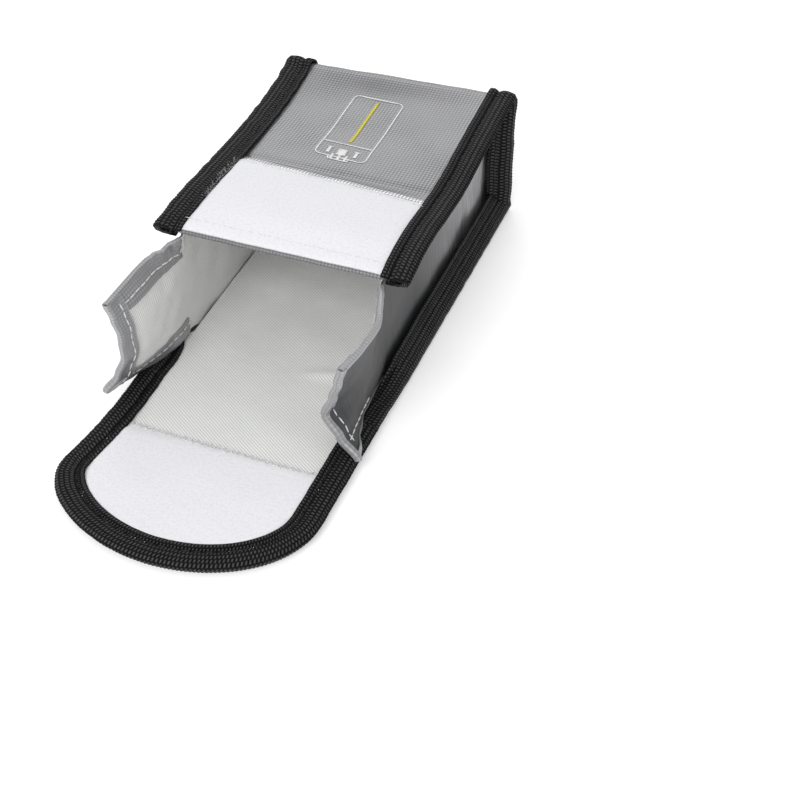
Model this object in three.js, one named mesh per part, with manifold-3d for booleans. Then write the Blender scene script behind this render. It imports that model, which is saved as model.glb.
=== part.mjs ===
// A small fire-resistant pouch for one battery, lying open on its back panel with its closing flap
// laid out flat in front of the mouth. Millimetres, +Z up. The origin is the middle of the bottom
// panel's underside; the mouth faces -Y and +X is on the right of somebody who looks into the mouth.
//
// One long strip of coated fabric makes the top, the end, the bottom and the flap. Two side panels
// close it, and go on past the mouth as ears that tuck in. Every panel has an outer shell and a
// lining. Folded tape binds all the seams and runs round the flap.
import * as THREE from 'three';
import { mergeVertices } from 'three/addons/utils/BufferGeometryUtils.js';
import Module from 'manifold-3d';

const wasm = await Module();
wasm.setup();

// ---------------------------------------------------------------- driving dimensions

const BODY_WIDTH = 56;        // between the outer faces of the side panels
const BODY_LENGTH = 86;       // from the mouth to the outer face of the end panel
const FLAP_LENGTH = 78.5;     // from the mouth to the flap's tip, laid flat
const FLAP_TIP_RISE = 24.5;   // length of the flap's half-elliptical end
const COVER_LENGTH = 34;      // between the flap's two fold lines, a little over the mouth's height
const EAR_LENGTH = 31;
const EAR_CREASE = 4.6;       // how far an ear's middle is pressed inwards at its front edge
const LEFT_EAR_FLARE = THREE.MathUtils.degToRad(12);
const RIGHT_EAR_FLARE = THREE.MathUtils.degToRad(7);

const SHELL = 0.6;            // coated outer fabric
const LINING = 0.5;           // twill lining
const TAPE = 0.6;             // binding tape
const TAPE_LEAF = 8.4;        // half of the tape's width
const GAP = 0.3;              // between pieces that lie on each other
const PILE = 0.9;             // hook or loop fastener with its backing
const SEAM_STAND = 5;         // how far the bottom seams stand out past the side panels
const TOP_SEAM_STAND = 6.6;   // and the top seams
const BACK_SEAM_STAND = 3;    // how far the upright seams stand out behind the end panel
const LOOP_DEPTH = 33;        // loop fastener, measured back from the mouth
const HOOK_START = 39;        // hook fastener, measured forwards from the mouth
const HEM = 4.5;              // width of the folded hems on the ears
const MOUTH_HEM = 7;          // width of the hem under the top panel's front edge

// Height of the top panel's outer face, from the mouth to the end panel.
const TOP_PROFILE = [[0, 34.2], [14, 35.8], [32, 35.4], [52, 34.4], [68, 35], [80, 37], [BODY_LENGTH, 38]];

// ---------------------------------------------------------------- worked out from them

const HALF_WIDTH = BODY_WIDTH / 2;
const MOUTH_Y = -BODY_LENGTH / 2;
const END_Y = BODY_LENGTH / 2;
const TIP_Y = MOUTH_Y - FLAP_LENGTH;
const SEAM_X = HALF_WIDTH + SEAM_STAND;
const TOP_SEAM_X = HALF_WIDTH + TOP_SEAM_STAND;

// Layers of the flat flap, from the table up: tape, shell, lining, tape or fastener.
const SHELL_Z = TAPE + GAP;
const LINING_Z = SHELL_Z + SHELL + GAP;
const UPPER_Z = LINING_Z + LINING + GAP;
const TAPE_STACK = UPPER_Z + TAPE;
const FOLD_Z = UPPER_Z + 0.8;                  // the flap folds about its inner face
const FOLD_Y = MOUTH_Y - 1.4;
const TONGUE_FOLD_Y = FOLD_Y - COVER_LENGTH;
const FLAP_EDGE_X = SEAM_X - 2 * TAPE;         // edge of the flap's fabric, inside the tape

const SIDE_INNER_X = HALF_WIDTH - SHELL;
const LINING_OUTER_X = SIDE_INNER_X - GAP;
const CAVITY_X = LINING_OUTER_X - LINING - GAP;
const PIVOT_X = HALF_WIDTH - SHELL / 2;
const EAR_BOTTOM = TAPE_STACK + GAP;           // over the flap's edge
const EAR_TOP = TOP_PROFILE[0][1] - 2.5;       // under the hem at the mouth

const COLOURS = {
  silver: new THREE.MeshStandardMaterial({ color: 0x9b9ca1, roughness: 0.42, metalness: 0.35 }),
  twill: new THREE.MeshStandardMaterial({ color: 0xd6d6d0, roughness: 0.75, metalness: 0 }),
  tape: new THREE.MeshStandardMaterial({ color: 0x17171a, roughness: 0.85, metalness: 0 }),
  pile: new THREE.MeshStandardMaterial({ color: 0xf1f1f4, roughness: 0.95, metalness: 0 }),
};

const bag = new THREE.Group();

// ---------------------------------------------------------------- helpers

function shapeOf(points) {
  return new THREE.Shape(points.map(([u, v]) => new THREE.Vector2(u, v)));
}

function box(u0, u1, v0, v1) {
  return shapeOf([[u0, v0], [u1, v0], [u1, v1], [u0, v1]]);
}

// A section in x and z, drawn out along y.
function alongY(section, y0, y1, steps = 1) {
  const geometry = new THREE.ExtrudeGeometry(section, { depth: y1 - y0, steps, bevelEnabled: false });
  return geometry.rotateX(Math.PI / 2).translate(0, y1, 0);
}

// An outline in y and z, drawn out along x.
function alongX(outline, x0, x1) {
  const geometry = new THREE.ExtrudeGeometry(outline, { depth: x1 - x0, bevelEnabled: false });
  return geometry.rotateX(Math.PI / 2).rotateZ(Math.PI / 2).translate(x0, 0, 0);
}

// An outline in x and y, drawn out along z.
function alongZ(outline, z0, z1) {
  const options = { depth: z1 - z0, bevelEnabled: false, curveSegments: 28 };
  return new THREE.ExtrudeGeometry(outline, options).translate(0, 0, z0);
}

function topHeight(y) {
  const back = y - MOUTH_Y;
  const last = TOP_PROFILE.length - 1;
  const next = Math.max(1, TOP_PROFILE.findIndex(([at]) => at >= back));
  const i = back >= BODY_LENGTH ? last : next;
  const [a, za] = TOP_PROFILE[i - 1];
  const [b, zb] = TOP_PROFILE[i];
  return THREE.MathUtils.mapLinear(THREE.MathUtils.clamp(back, 0, BODY_LENGTH), a, b, za, zb);
}

// Moves each vertex by what shift(vertex) says.
function moved(geometry, shift) {
  const position = geometry.getAttribute('position');
  const vertex = new THREE.Vector3();
  for (let i = 0; i < position.count; i += 1) {
    vertex.fromBufferAttribute(position, i);
    vertex.add(shift(vertex));
    position.setXYZ(i, vertex.x, vertex.y, vertex.z);
  }
  return geometry;
}

// A strip of the top panel: its section's heights are measured from the panel's outer face.
function onTop(section, y0, y1) {
  const steps = Math.max(2, Math.round((y1 - y0) / 3.5));
  return moved(alongY(section, y0, y1, steps), (v) => new THREE.Vector3(0, 0, topHeight(v.y)));
}

function solid(geometry) {
  const plain = geometry.index ? geometry.toNonIndexed() : geometry.clone();
  plain.deleteAttribute('normal');
  plain.deleteAttribute('uv');
  const merged = mergeVertices(plain, 1e-4);
  const mesh = { numProp: 3, vertProperties: merged.getAttribute('position').array,
    triVerts: new Uint32Array(merged.index.array) };
  return new wasm.Manifold(new wasm.Mesh(mesh));
}

function surface(manifold) {
  const mesh = manifold.getMesh();
  const geometry = new THREE.BufferGeometry();
  geometry.setAttribute('position', new THREE.BufferAttribute(mesh.vertProperties, 3));
  geometry.setIndex(new THREE.BufferAttribute(mesh.triVerts, 1));
  return geometry;
}

function add(name, geometry, material, parent = bag) {
  const mesh = new THREE.Mesh(geometry, material);
  mesh.name = name;
  parent.add(mesh);
  return mesh;
}

const SIDES = [['left', -1], ['right', 1]];

// ---------------------------------------------------------------- the strip: bottom, end and top

function bottomPanel() {
  const flat = SEAM_X - TAPE_LEAF - 1.3;   // the middle sags to the table between the tapes
  const edge = SEAM_X - 2;
  const lower = [[-edge, SHELL_Z], [-flat - 1, SHELL_Z], [-flat, 0], [flat, 0], [flat + 1, SHELL_Z], [edge, SHELL_Z]];
  const upper = [[edge, SHELL_Z + SHELL], [flat + 0.7, SHELL_Z + SHELL], [flat - 0.3, SHELL],
    [0.3 - flat, SHELL], [-flat - 0.7, SHELL_Z + SHELL], [-edge, SHELL_Z + SHELL]];
  add('bottom_shell', alongY(shapeOf([...lower, ...upper]), FOLD_Y + GAP, END_Y), COLOURS.silver);

  const lining = box(-CAVITY_X, CAVITY_X, LINING_Z, LINING_Z + LINING);
  add('bottom_lining', alongY(lining, FOLD_Y + GAP, END_Y - SHELL - LINING - 2 * GAP), COLOURS.twill);
}

function endPanel() {
  const top = TOP_PROFILE.at(-1)[1] - SHELL - GAP;
  const shell = box(-SIDE_INNER_X + GAP, SIDE_INNER_X - GAP, LINING_Z, top);
  add('end_shell', alongY(shell, END_Y - SHELL, END_Y), COLOURS.silver);

  const y1 = END_Y - SHELL - GAP;
  const lining = box(-CAVITY_X, CAVITY_X, LINING_Z, top - LINING - GAP);
  add('end_lining', alongY(lining, y1 - LINING, y1), COLOURS.twill);
}

function topPanel() {
  const edge = TOP_SEAM_X - 2 * TAPE;
  add('top_shell', onTop(box(-edge, edge, -SHELL, 0), MOUTH_Y, END_Y), COLOURS.silver);

  const under = -SHELL - GAP;
  const lining = box(-CAVITY_X, CAVITY_X, under - LINING, under);
  add('top_lining', onTop(lining, MOUTH_Y, END_Y - SHELL - LINING - 3 * GAP - 0.2), COLOURS.twill);

  const loop = TOP_SEAM_X - TAPE_LEAF + 1 - GAP;
  add('loop_fastener', onTop(box(-loop, loop, GAP, GAP + PILE), MOUTH_Y, MOUTH_Y + LOOP_DEPTH), COLOURS.pile);

  const hem = box(-CAVITY_X, CAVITY_X, under - 2 * LINING - GAP, under - LINING - GAP);
  add('mouth_hem', onTop(hem, MOUTH_Y, MOUTH_Y + MOUTH_HEM), COLOURS.silver);
}

// ---------------------------------------------------------------- side panels

function sidePanel(name, side) {
  // The outline follows the top panel, drop below its outer face.
  const outline = (y1, drop) => shapeOf([[MOUTH_Y, LINING_Z], [y1, LINING_Z],
    ...TOP_PROFILE.toReversed().map(([back, z]) => [Math.min(MOUTH_Y + back, y1), z - drop])]);
  const drop = SHELL + GAP;
  const across = (shape, inner, thickness) =>
    alongX(shape, side > 0 ? inner : -inner - thickness, side > 0 ? inner + thickness : -inner);
  add(`${name}_side_shell`, across(outline(END_Y, drop), SIDE_INNER_X, SHELL), COLOURS.silver);

  const lining = outline(END_Y - SHELL - GAP, drop);
  add(`${name}_side_lining`, across(lining, LINING_OUTER_X - LINING, LINING), COLOURS.twill);
}

// ---------------------------------------------------------------- binding tape on the body's seams

// The tape is folded round each seam: one leaf lies on the strip and the other on the side panel.
function seamTapes(name, side) {
  const place = (points) => shapeOf(points.map(([x, v]) => [side * x, v]));

  const wallLeaf = HALF_WIDTH + GAP;
  const bottom = place([[SEAM_X, 0], [wallLeaf + TAPE, TAPE_LEAF - 0.2], [wallLeaf, TAPE_LEAF - 0.4],
    [SEAM_X - 1.2, TAPE], [SEAM_X - TAPE_LEAF, TAPE], [SEAM_X - TAPE_LEAF, 0]]);
  const behind = END_Y + BACK_SEAM_STAND;
  add(`${name}_bottom_tape`, alongY(bottom, MOUTH_Y - 0.6, behind), COLOURS.tape);

  const onEnd = END_Y + GAP;
  const upright = place([[SEAM_X, behind], [SEAM_X - TAPE_LEAF, onEnd + TAPE], [SEAM_X - TAPE_LEAF, onEnd],
    [SEAM_X - 1.6, behind - 1.2], [wallLeaf, END_Y - TAPE_LEAF + 2], [wallLeaf + TAPE, END_Y - TAPE_LEAF + 1.8]]);
  const top = topHeight(END_Y - TAPE_LEAF) - SHELL - TAPE - 3 * GAP;
  add(`${name}_upright_tape`, alongZ(upright, TAPE_LEAF + GAP, top), COLOURS.tape);

  const low = -SHELL - TAPE - 2 * GAP;
  const inner = TOP_SEAM_X - TAPE_LEAF + 1;
  const along = place([[inner, GAP], [TOP_SEAM_X - TAPE, GAP], [TOP_SEAM_X - TAPE, low + TAPE],
    [wallLeaf, low + TAPE], [wallLeaf, low], [TOP_SEAM_X, low], [TOP_SEAM_X, GAP + TAPE], [inner, GAP + TAPE]]);
  add(`${name}_top_tape`, onTop(along, MOUTH_Y, behind), COLOURS.tape);
}

// ---------------------------------------------------------------- flap: mouth cover and tongue

function mouthCover() {
  const y0 = TONGUE_FOLD_Y + GAP;
  const y1 = FOLD_Y - GAP;
  const edge = FLAP_EDGE_X;
  add('cover_shell', alongY(box(-edge, edge, SHELL_Z, SHELL_Z + SHELL), y0, y1), COLOURS.silver);
  add('cover_lining', alongY(box(-edge, edge, LINING_Z, LINING_Z + LINING), y0, y1), COLOURS.twill);

  for (const [name, side] of SIDES) {
    const inner = SEAM_X - TAPE_LEAF;
    const wall = SEAM_X - TAPE;
    const folded = [[inner, 0], [SEAM_X, 0], [SEAM_X, TAPE_STACK], [inner, TAPE_STACK],
      [inner, UPPER_Z], [wall, UPPER_Z], [wall, TAPE], [inner, TAPE]];
    const section = shapeOf(folded.map(([x, z]) => [side * x, z]));
    add(`cover_${name}_tape`, alongY(section, y0, y1), COLOURS.tape);
  }
}

// The tongue's outline, drawn in from its outer edge by inset and starting at y0.
function tongueOutline(inset, y0) {
  const half = SEAM_X - inset;
  const arcY = TIP_Y + FLAP_TIP_RISE;
  const shape = new THREE.Shape();
  shape.moveTo(-half, y0);
  shape.lineTo(-half, arcY);
  shape.absellipse(0, arcY, half, FLAP_TIP_RISE - inset, Math.PI, 2 * Math.PI, false, 0);
  shape.lineTo(half, y0);
  shape.closePath();
  return shape;
}

function tongue() {
  const y0 = TONGUE_FOLD_Y - GAP;
  const edge = SEAM_X - FLAP_EDGE_X;
  add('tongue_shell', alongZ(tongueOutline(edge, y0), SHELL_Z, SHELL_Z + SHELL), COLOURS.silver);
  add('tongue_lining', alongZ(tongueOutline(edge, y0), LINING_Z, LINING_Z + LINING), COLOURS.twill);

  const hook = tongueOutline(TAPE_LEAF + GAP, MOUTH_Y - HOOK_START);
  add('hook_fastener', alongZ(hook, UPPER_Z, FOLD_Z), COLOURS.pile);

  const outside = solid(alongZ(tongueOutline(0, y0), 0, TAPE_STACK));
  const window = solid(alongZ(tongueOutline(TAPE_LEAF, y0 + 1), -1, TAPE_STACK + 1));
  const slot = solid(alongZ(tongueOutline(TAPE, y0 + 1), TAPE, UPPER_Z));
  add('tongue_tape', surface(outside.subtract(window).subtract(slot)), COLOURS.tape);
}

// ---------------------------------------------------------------- ears

// A solid between two copies of a run of flat facets, the second one moved along x.
function facetPlate(points, facets, from, to) {
  const corners = [from, to].flatMap((x) => points.map(([dx, y, z]) => [dx + x, y, z]));
  const n = points.length;
  const rim = points.map((_, i) => [i, (i + 1) % n]).flatMap(([i, j]) => [[j, i, i + n], [j, i + n, j + n]]);
  const back = facets.map(([i, j, k]) => [i + n, k + n, j + n]);
  const triangles = [...facets.map((facet) => [...facet]), ...back, ...rim];
  if (to < from) triangles.forEach((triangle) => triangle.reverse());
  const mesh = { numProp: 3, vertProperties: new Float32Array(corners.flat()),
    triVerts: new Uint32Array(triangles.flat()) };
  return new wasm.Manifold(new wasm.Mesh(mesh));
}

// An ear points forwards from its hinge, at the origin of its own group. Two folds run from the ends
// of the hinge to the middle of its front edge, which is pressed inwards.
function ear(name, side, flare) {
  const group = new THREE.Group();
  group.position.set(side * PIVOT_X, MOUTH_Y, 0);
  group.rotation.z = side * flare;
  bag.add(group);

  const middle = (EAR_BOTTOM + EAR_TOP) / 2;
  const outline = [[0, -GAP, EAR_BOTTOM], [0, -EAR_LENGTH, EAR_BOTTOM], [-side * EAR_CREASE, -EAR_LENGTH, middle],
    [0, -EAR_LENGTH, EAR_TOP], [0, -GAP, EAR_TOP]];
  const folds = [[0, 1, 2], [0, 2, 4], [2, 3, 4]];
  const layer = (inwards, thickness) =>
    facetPlate(outline, folds, -side * inwards, -side * (inwards + thickness));

  const liningAt = SHELL / 2 + GAP;
  const hemLayer = layer(liningAt + LINING + GAP, LINING);
  add(`${name}_ear_shell`, surface(layer(-SHELL / 2, SHELL)), COLOURS.silver, group);
  add(`${name}_ear_lining`, surface(layer(liningAt, LINING)), COLOURS.twill, group);

  const sewn = HEM + GAP;
  const strips = {
    top: [2, EAR_TOP - HEM, EAR_TOP + 1],
    bottom: [2, EAR_BOTTOM - 1, EAR_BOTTOM + HEM],
    front: [EAR_LENGTH - HEM, EAR_BOTTOM + sewn, EAR_TOP - sewn],
  };
  for (const [edge, [start, z0, z1]] of Object.entries(strips)) {
    const reach = solid(alongY(box(-HALF_WIDTH, HALF_WIDTH, z0, z1), -EAR_LENGTH - 1, -start));
    add(`${name}_ear_${edge}_hem`, surface(hemLayer.intersect(reach)), COLOURS.silver, group);
  }
}

// ---------------------------------------------------------------- assembly

bottomPanel();
endPanel();
topPanel();
for (const [name, side] of SIDES) {
  sidePanel(name, side);
  seamTapes(name, side);
}
mouthCover();
tongue();
ear('left', -1, LEFT_EAR_FLARE);
ear('right', 1, RIGHT_EAR_FLARE);

export default bag;
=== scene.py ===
"""Looks of a small fire-resistant battery pouch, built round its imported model.

Lengths inside the classes are millimetres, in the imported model's frame: +Z up, the mouth towards -Y.
Meshes are made in metres. Every cloth piece carries a UV map, CLOTH_MAP, that holds its flat position in
metres, so weaves follow the cloth when it folds.
"""

import logging
import math
from dataclasses import dataclass, field
from enum import Enum
from typing import Callable, Iterable, Sequence

import bpy
import numpy as np
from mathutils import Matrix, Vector


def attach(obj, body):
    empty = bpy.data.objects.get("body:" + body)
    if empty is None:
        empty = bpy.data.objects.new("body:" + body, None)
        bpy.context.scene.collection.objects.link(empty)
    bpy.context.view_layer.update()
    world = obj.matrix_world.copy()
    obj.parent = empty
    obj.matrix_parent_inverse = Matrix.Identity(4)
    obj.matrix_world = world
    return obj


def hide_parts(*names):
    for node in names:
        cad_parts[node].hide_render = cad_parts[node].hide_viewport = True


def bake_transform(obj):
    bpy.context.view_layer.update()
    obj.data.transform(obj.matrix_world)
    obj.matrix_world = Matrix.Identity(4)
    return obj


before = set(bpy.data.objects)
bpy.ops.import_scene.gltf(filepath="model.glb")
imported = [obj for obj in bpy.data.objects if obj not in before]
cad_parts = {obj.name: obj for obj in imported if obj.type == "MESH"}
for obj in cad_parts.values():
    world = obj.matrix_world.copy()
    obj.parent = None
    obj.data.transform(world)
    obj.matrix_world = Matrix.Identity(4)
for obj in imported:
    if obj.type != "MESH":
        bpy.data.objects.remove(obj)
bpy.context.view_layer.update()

MM = 0.001
CLOTH_MAP = "cloth"
LOG = logging.getLogger("pouch")

Thing = bpy.types.Object
Material = bpy.types.Material
Node = bpy.types.Node
Socket = bpy.types.NodeSocket
Rgba = tuple[float, float, float, float]
Grid = tuple[np.ndarray, np.ndarray]
Body = str | tuple[str, str, float, float]

MOUTH_Y = -43.0
END_Y = 43.0
HALF_WIDTH = 28.0
FLAP_HALF = 33.0
FLAP_TIP_Y = -122.1
FLAP_RISE = 25.2
TAPE_WIDTH = 8.4
FLAP_TAPE_WIDTH = 7.3
FOLD_Y = -44.4
LOOP_END, LOOP_SKEW = 31.6, 0.07
# Gap from the loop fastener's back edge to the top shell's ridge, which also carries a painted highlight
# band.
RIDGE_GAP = 1.2
SIGN_SKEW = 0.08
COVER_JOIN_Y = -62.0

MOUTH_FOLD = ("bag", "mouth_cover", -0.0431, -0.0458)
TONGUE_FOLD = ("mouth_cover", "tongue", -0.0770, -0.0798)
EAR_FOLD = (-0.0418, -0.0446)

SHELL_THICK, LINING_THICK, PILE_THICK, HEM_THICK = 0.5, 0.45, 0.6, 0.28
SIDE_SHELL_THICK, SIDE_LINING_THICK = 0.4, 0.3
FILM_THICK = 0.03


class Side(Enum):
    """The two sides of the pouch, as seen looking into its mouth."""

    LEFT = -1
    RIGHT = 1

    @property
    def word(self) -> str:
        """The side's name in lower case."""
        return self.name.lower()


class Leaf(Enum):
    """The two leaves of a folded tape."""

    UPPER = 1
    LOWER = -1


# ---------------------------------------------------------------- small maths


def smooth(low: float, high: float, at: np.ndarray | float) -> np.ndarray:
    """A smooth step from 0 at low to 1 at high.

    Args:
        low: Where the step starts.
        high: Where it ends.
        at: Where to read it.

    Returns:
        The step's value there.
    """
    t = np.clip((np.asarray(at, float) - low) / (high - low), 0, 1)
    return t * t * (3 - 2 * t)


def unit(vectors: np.ndarray) -> np.ndarray:
    """The vectors at length one."""
    return vectors / np.maximum(np.linalg.norm(vectors, axis=-1, keepdims=True), 1e-9)


def ripple(x: np.ndarray, y: np.ndarray, wavelength: float, seed: int) -> np.ndarray:
    """Smooth, repeatable unevenness between about -1 and 1.

    Args:
        x: First coordinate, in millimetres.
        y: Second coordinate.
        wavelength: The usual distance between crests.
        seed: Which unevenness.

    Returns:
        The unevenness at each point.
    """
    random = np.random.RandomState(seed)
    total = np.zeros(np.broadcast(x, y).shape)
    for _ in range(7):
        angle, phase = random.uniform(0, math.pi), random.uniform(0, 2 * math.pi)
        waves = 2 * math.pi / (wavelength * random.uniform(0.6, 1.6))
        total += np.sin(waves * (x * math.cos(angle) + y * math.sin(angle)) + phase)
    return total / 4


def spline(knots: Sequence[float], values: np.ndarray, at: np.ndarray, tension: float = 0.0) -> np.ndarray:
    """A cubic through values at knots, carried on straight past both ends.

    Args:
        knots: Rising positions.
        values: One value or vector for each knot, along the first axis.
        at: Where to read the cubic.
        tension: 0 for a rounded run, 1 for straight pieces.

    Returns:
        The values read there, along the first axis.
    """
    k, v = np.asarray(knots, float), np.asarray(values, float)
    at = np.asarray(at, float)
    slopes = np.gradient(v, k, axis=0) * (1 - tension)
    i = np.clip(np.searchsorted(k, at, side="right") - 1, 0, len(k) - 2)
    width = (k[i + 1] - k[i])
    t = np.clip((at - k[i]) / width, 0, 1)
    over = at - np.clip(at, k[0], k[-1])
    shape = (-1,) + (1,) * (v.ndim - 1)
    t, width, over = t.reshape(shape), width.reshape(shape), over.reshape(shape)
    h00, h10 = 2 * t**3 - 3 * t**2 + 1, t**3 - 2 * t**2 + t
    h01, h11 = -2 * t**3 + 3 * t**2, t**3 - t**2
    inside = h00 * v[i] + h10 * width * slopes[i] + h01 * v[i + 1] + h11 * width * slopes[i + 1]
    return inside + over * slopes[np.where(at > k[-1], len(k) - 1, 0)]


def arc_length(points: np.ndarray) -> np.ndarray:
    """How far along a run of points each one lies."""
    steps = np.linalg.norm(np.diff(points, axis=0), axis=1)
    return np.concatenate([[0.0], np.cumsum(steps)])


def resample(points: np.ndarray, spacing: float) -> np.ndarray:
    """The same run of points, evenly spaced.

    Args:
        points: The run, one row for each point.
        spacing: About how far apart the new points are.

    Returns:
        The new run.
    """
    along = arc_length(points)
    at = np.linspace(0, along[-1], max(2, int(round(along[-1] / spacing)) + 1))
    return np.stack([np.interp(at, along, points[:, i]) for i in range(points.shape[1])], axis=1)


# ---------------------------------------------------------------- meshes


def add_object(name: str, data: bpy.types.ID) -> Thing:
    """A new object in the scene, made from a mesh, a camera or a light."""
    thing = bpy.data.objects.new(name, data)
    bpy.context.scene.collection.objects.link(thing)
    return thing


def grid_quads(rows: int, cols: int) -> np.ndarray:
    """The four corners' numbers of every square in a grid of points."""
    i, j = np.meshgrid(np.arange(rows - 1), np.arange(cols - 1), indexing="ij")
    a = (i * cols + j).ravel()
    return np.stack([a, a + 1, a + cols + 1, a + cols], axis=1)


def make_object(name: str, verts: np.ndarray, faces: Iterable[Sequence[int]], loop_uv: np.ndarray | None,
                material: Material | None) -> Thing:
    """A mesh object in metres, smooth shaded, from points in millimetres.

    Args:
        name: The object's name.
        verts: Points, one row each.
        faces: Index lists.
        loop_uv: Flat position of each face corner in millimetres, or None.
        material: The finish, or None.

    Returns:
        The new object.
    """
    mesh = bpy.data.meshes.new(name)
    mesh.from_pydata((verts * MM).tolist(), [], [tuple(int(i) for i in f) for f in faces])
    if loop_uv is not None:
        mesh.uv_layers.new(name=CLOTH_MAP).data.foreach_set("uv", (loop_uv * MM).astype(np.float32).ravel())
    mesh.polygons.foreach_set("use_smooth", np.ones(len(mesh.polygons), bool))
    if material is not None:
        mesh.materials.append(material)
    mesh.update()
    return add_object(name, mesh)


@dataclass
class Cloth:
    """A sheet of cloth laid out as rows and columns of points.

    Attributes:
        name: The piece's name.
        points: Rows by columns by 3, millimetres.
        flat: Rows by columns by 2, where each point was on the flat cloth.
        thickness: Of the cloth.
        material: Its finish.
        flip: Whether to turn its faces over, so that they point outwards.
    """

    name: str
    points: np.ndarray
    flat: np.ndarray
    thickness: float
    material: Material
    flip: bool = False

    def build(self) -> Thing:
        """The sheet as a mesh with its thickness."""
        quads = grid_quads(*self.points.shape[:2])
        if self.flip:
            quads = quads[:, ::-1]
        flat = self.flat.reshape(-1, 2)
        thing = make_object(self.name, self.points.reshape(-1, 3), quads, flat[quads.ravel()], self.material)
        mesh = thing.data
        uses = np.zeros(len(mesh.edges), int)
        np.add.at(uses, [loop.edge_index for loop in mesh.loops], 1)
        mesh.attributes.new("sharp_edge", "BOOLEAN", "EDGE").data.foreach_set("value", uses == 1)
        solid = thing.modifiers.new("thickness", "SOLIDIFY")
        solid.thickness, solid.offset = self.thickness * MM, 0
        return thing

    @property
    def cut(self) -> tuple[float, float]:
        """Width and length of the flat cut, in metres."""
        size = self.flat.reshape(-1, 2).max(0) - self.flat.reshape(-1, 2).min(0)
        return float(size[0] * MM), float(size[1] * MM)

    @property
    def area(self) -> float:
        """Flat area of the cut, in square metres."""
        f = self.flat
        d1, d2 = f[1:, 1:] - f[:-1, :-1], f[1:, :-1] - f[:-1, 1:]
        return float(np.abs(d1[..., 0] * d2[..., 1] - d1[..., 1] * d2[..., 0]).sum() / 2 * MM * MM)


# ---------------------------------------------------------------- shader building


class Graph:
    """A thin layer over a node tree that adds nodes and links in one call."""

    def __init__(self, tree: bpy.types.NodeTree) -> None:
        """Keeps the tree."""
        self.tree = tree

    def node(self, kind: str, given: dict[str | int, object] | None = None, **settings: object) -> Node:
        """Adds a node.

        Args:
            kind: The node's type.
            given: A socket to link or a constant for each of its inputs.
            **settings: Its properties.

        Returns:
            The node.
        """
        made = self.tree.nodes.new(kind)
        for key, value in settings.items():
            setattr(made, key, value)
        self.set(made, given or {})
        return made

    def set(self, node: Node, given: dict[str | int, object]) -> None:
        """Links or sets several inputs of a node."""
        for key, value in given.items():
            self.feed(node.inputs[key], value)

    def feed(self, socket: Socket, value: object) -> None:
        """Links or sets a socket.

        Args:
            socket: The input.
            value: A socket to link, or a constant.
        """
        if isinstance(value, Socket):
            self.tree.links.new(value, socket)
        else:
            socket.default_value = value

    def math(self, operation: str, *values: object, clamp: bool = False) -> Socket:
        """A Math node.

        Args:
            operation: What it does.
            *values: Its inputs.
            clamp: Whether to keep the result between 0 and 1.

        Returns:
            Its output.
        """
        made = self.node("ShaderNodeMath", operation=operation, use_clamp=clamp)
        for socket, value in zip(made.inputs, values):
            self.feed(socket, value)
        return made.outputs[0]

    def times(self, a: object, b: object, clamp: bool = False) -> Socket:
        """a multiplied by b."""
        return self.math("MULTIPLY", a, b, clamp=clamp)

    def less(self, a: object, b: object) -> Socket:
        """b taken from a."""
        return self.math("SUBTRACT", a, b)

    def split(self, vector: object) -> bpy.types.NodeOutputs:
        """The vector's three coordinates."""
        return self.node("ShaderNodeSeparateXYZ", {0: vector}).outputs

    def mix(self, factor: object, a: object, b: object) -> Socket:
        """A colour mix of a and b by factor."""
        return self.node("ShaderNodeMix", {0: factor, 6: a, 7: b}, data_type="RGBA").outputs[2]

    def noise(self, vector: object, scale: float, detail: float = 2.0) -> Socket:
        """Fractal noise between 0 and 1 at a scale."""
        made = self.node("ShaderNodeTexNoise", {"Vector": vector, "Scale": scale, "Detail": detail})
        return made.outputs["Fac"]

    def remap(self, value: object, low: float, high: float, to_low: float, to_high: float) -> Socket:
        """value moved from one range to another, and kept inside it."""
        made = self.node("ShaderNodeMapRange", {
            "Value": value, "From Min": low, "From Max": high, "To Min": to_low, "To Max": to_high})
        return made.outputs["Result"]

    def stretched(self, vector: object, scale: Sequence[float]) -> Socket:
        """vector multiplied by scale, axis by axis."""
        made = self.node("ShaderNodeMapping", {"Vector": vector, "Scale": scale}, vector_type="POINT")
        return made.outputs["Vector"]


def new_group(name: str, inputs: Sequence[tuple[str, str, float]], outputs: Sequence[str]
              ) -> tuple[Graph, Node, Node]:
    """An empty shader group with named sockets.

    Args:
        name: The group's name.
        inputs: Name, socket type and default of each input.
        outputs: Name of each float output.

    Returns:
        The group's graph and its input and output nodes.
    """
    tree = bpy.data.node_groups.new(name, "ShaderNodeTree")
    for label, kind, default in inputs:
        socket = tree.interface.new_socket(label, in_out="INPUT", socket_type=kind)
        if kind == "NodeSocketFloat":
            socket.default_value = default
    for label in outputs:
        tree.interface.new_socket(label, in_out="OUTPUT", socket_type="NodeSocketFloat")
    graph = Graph(tree)
    return graph, graph.node("NodeGroupInput"), graph.node("NodeGroupOutput")


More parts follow.
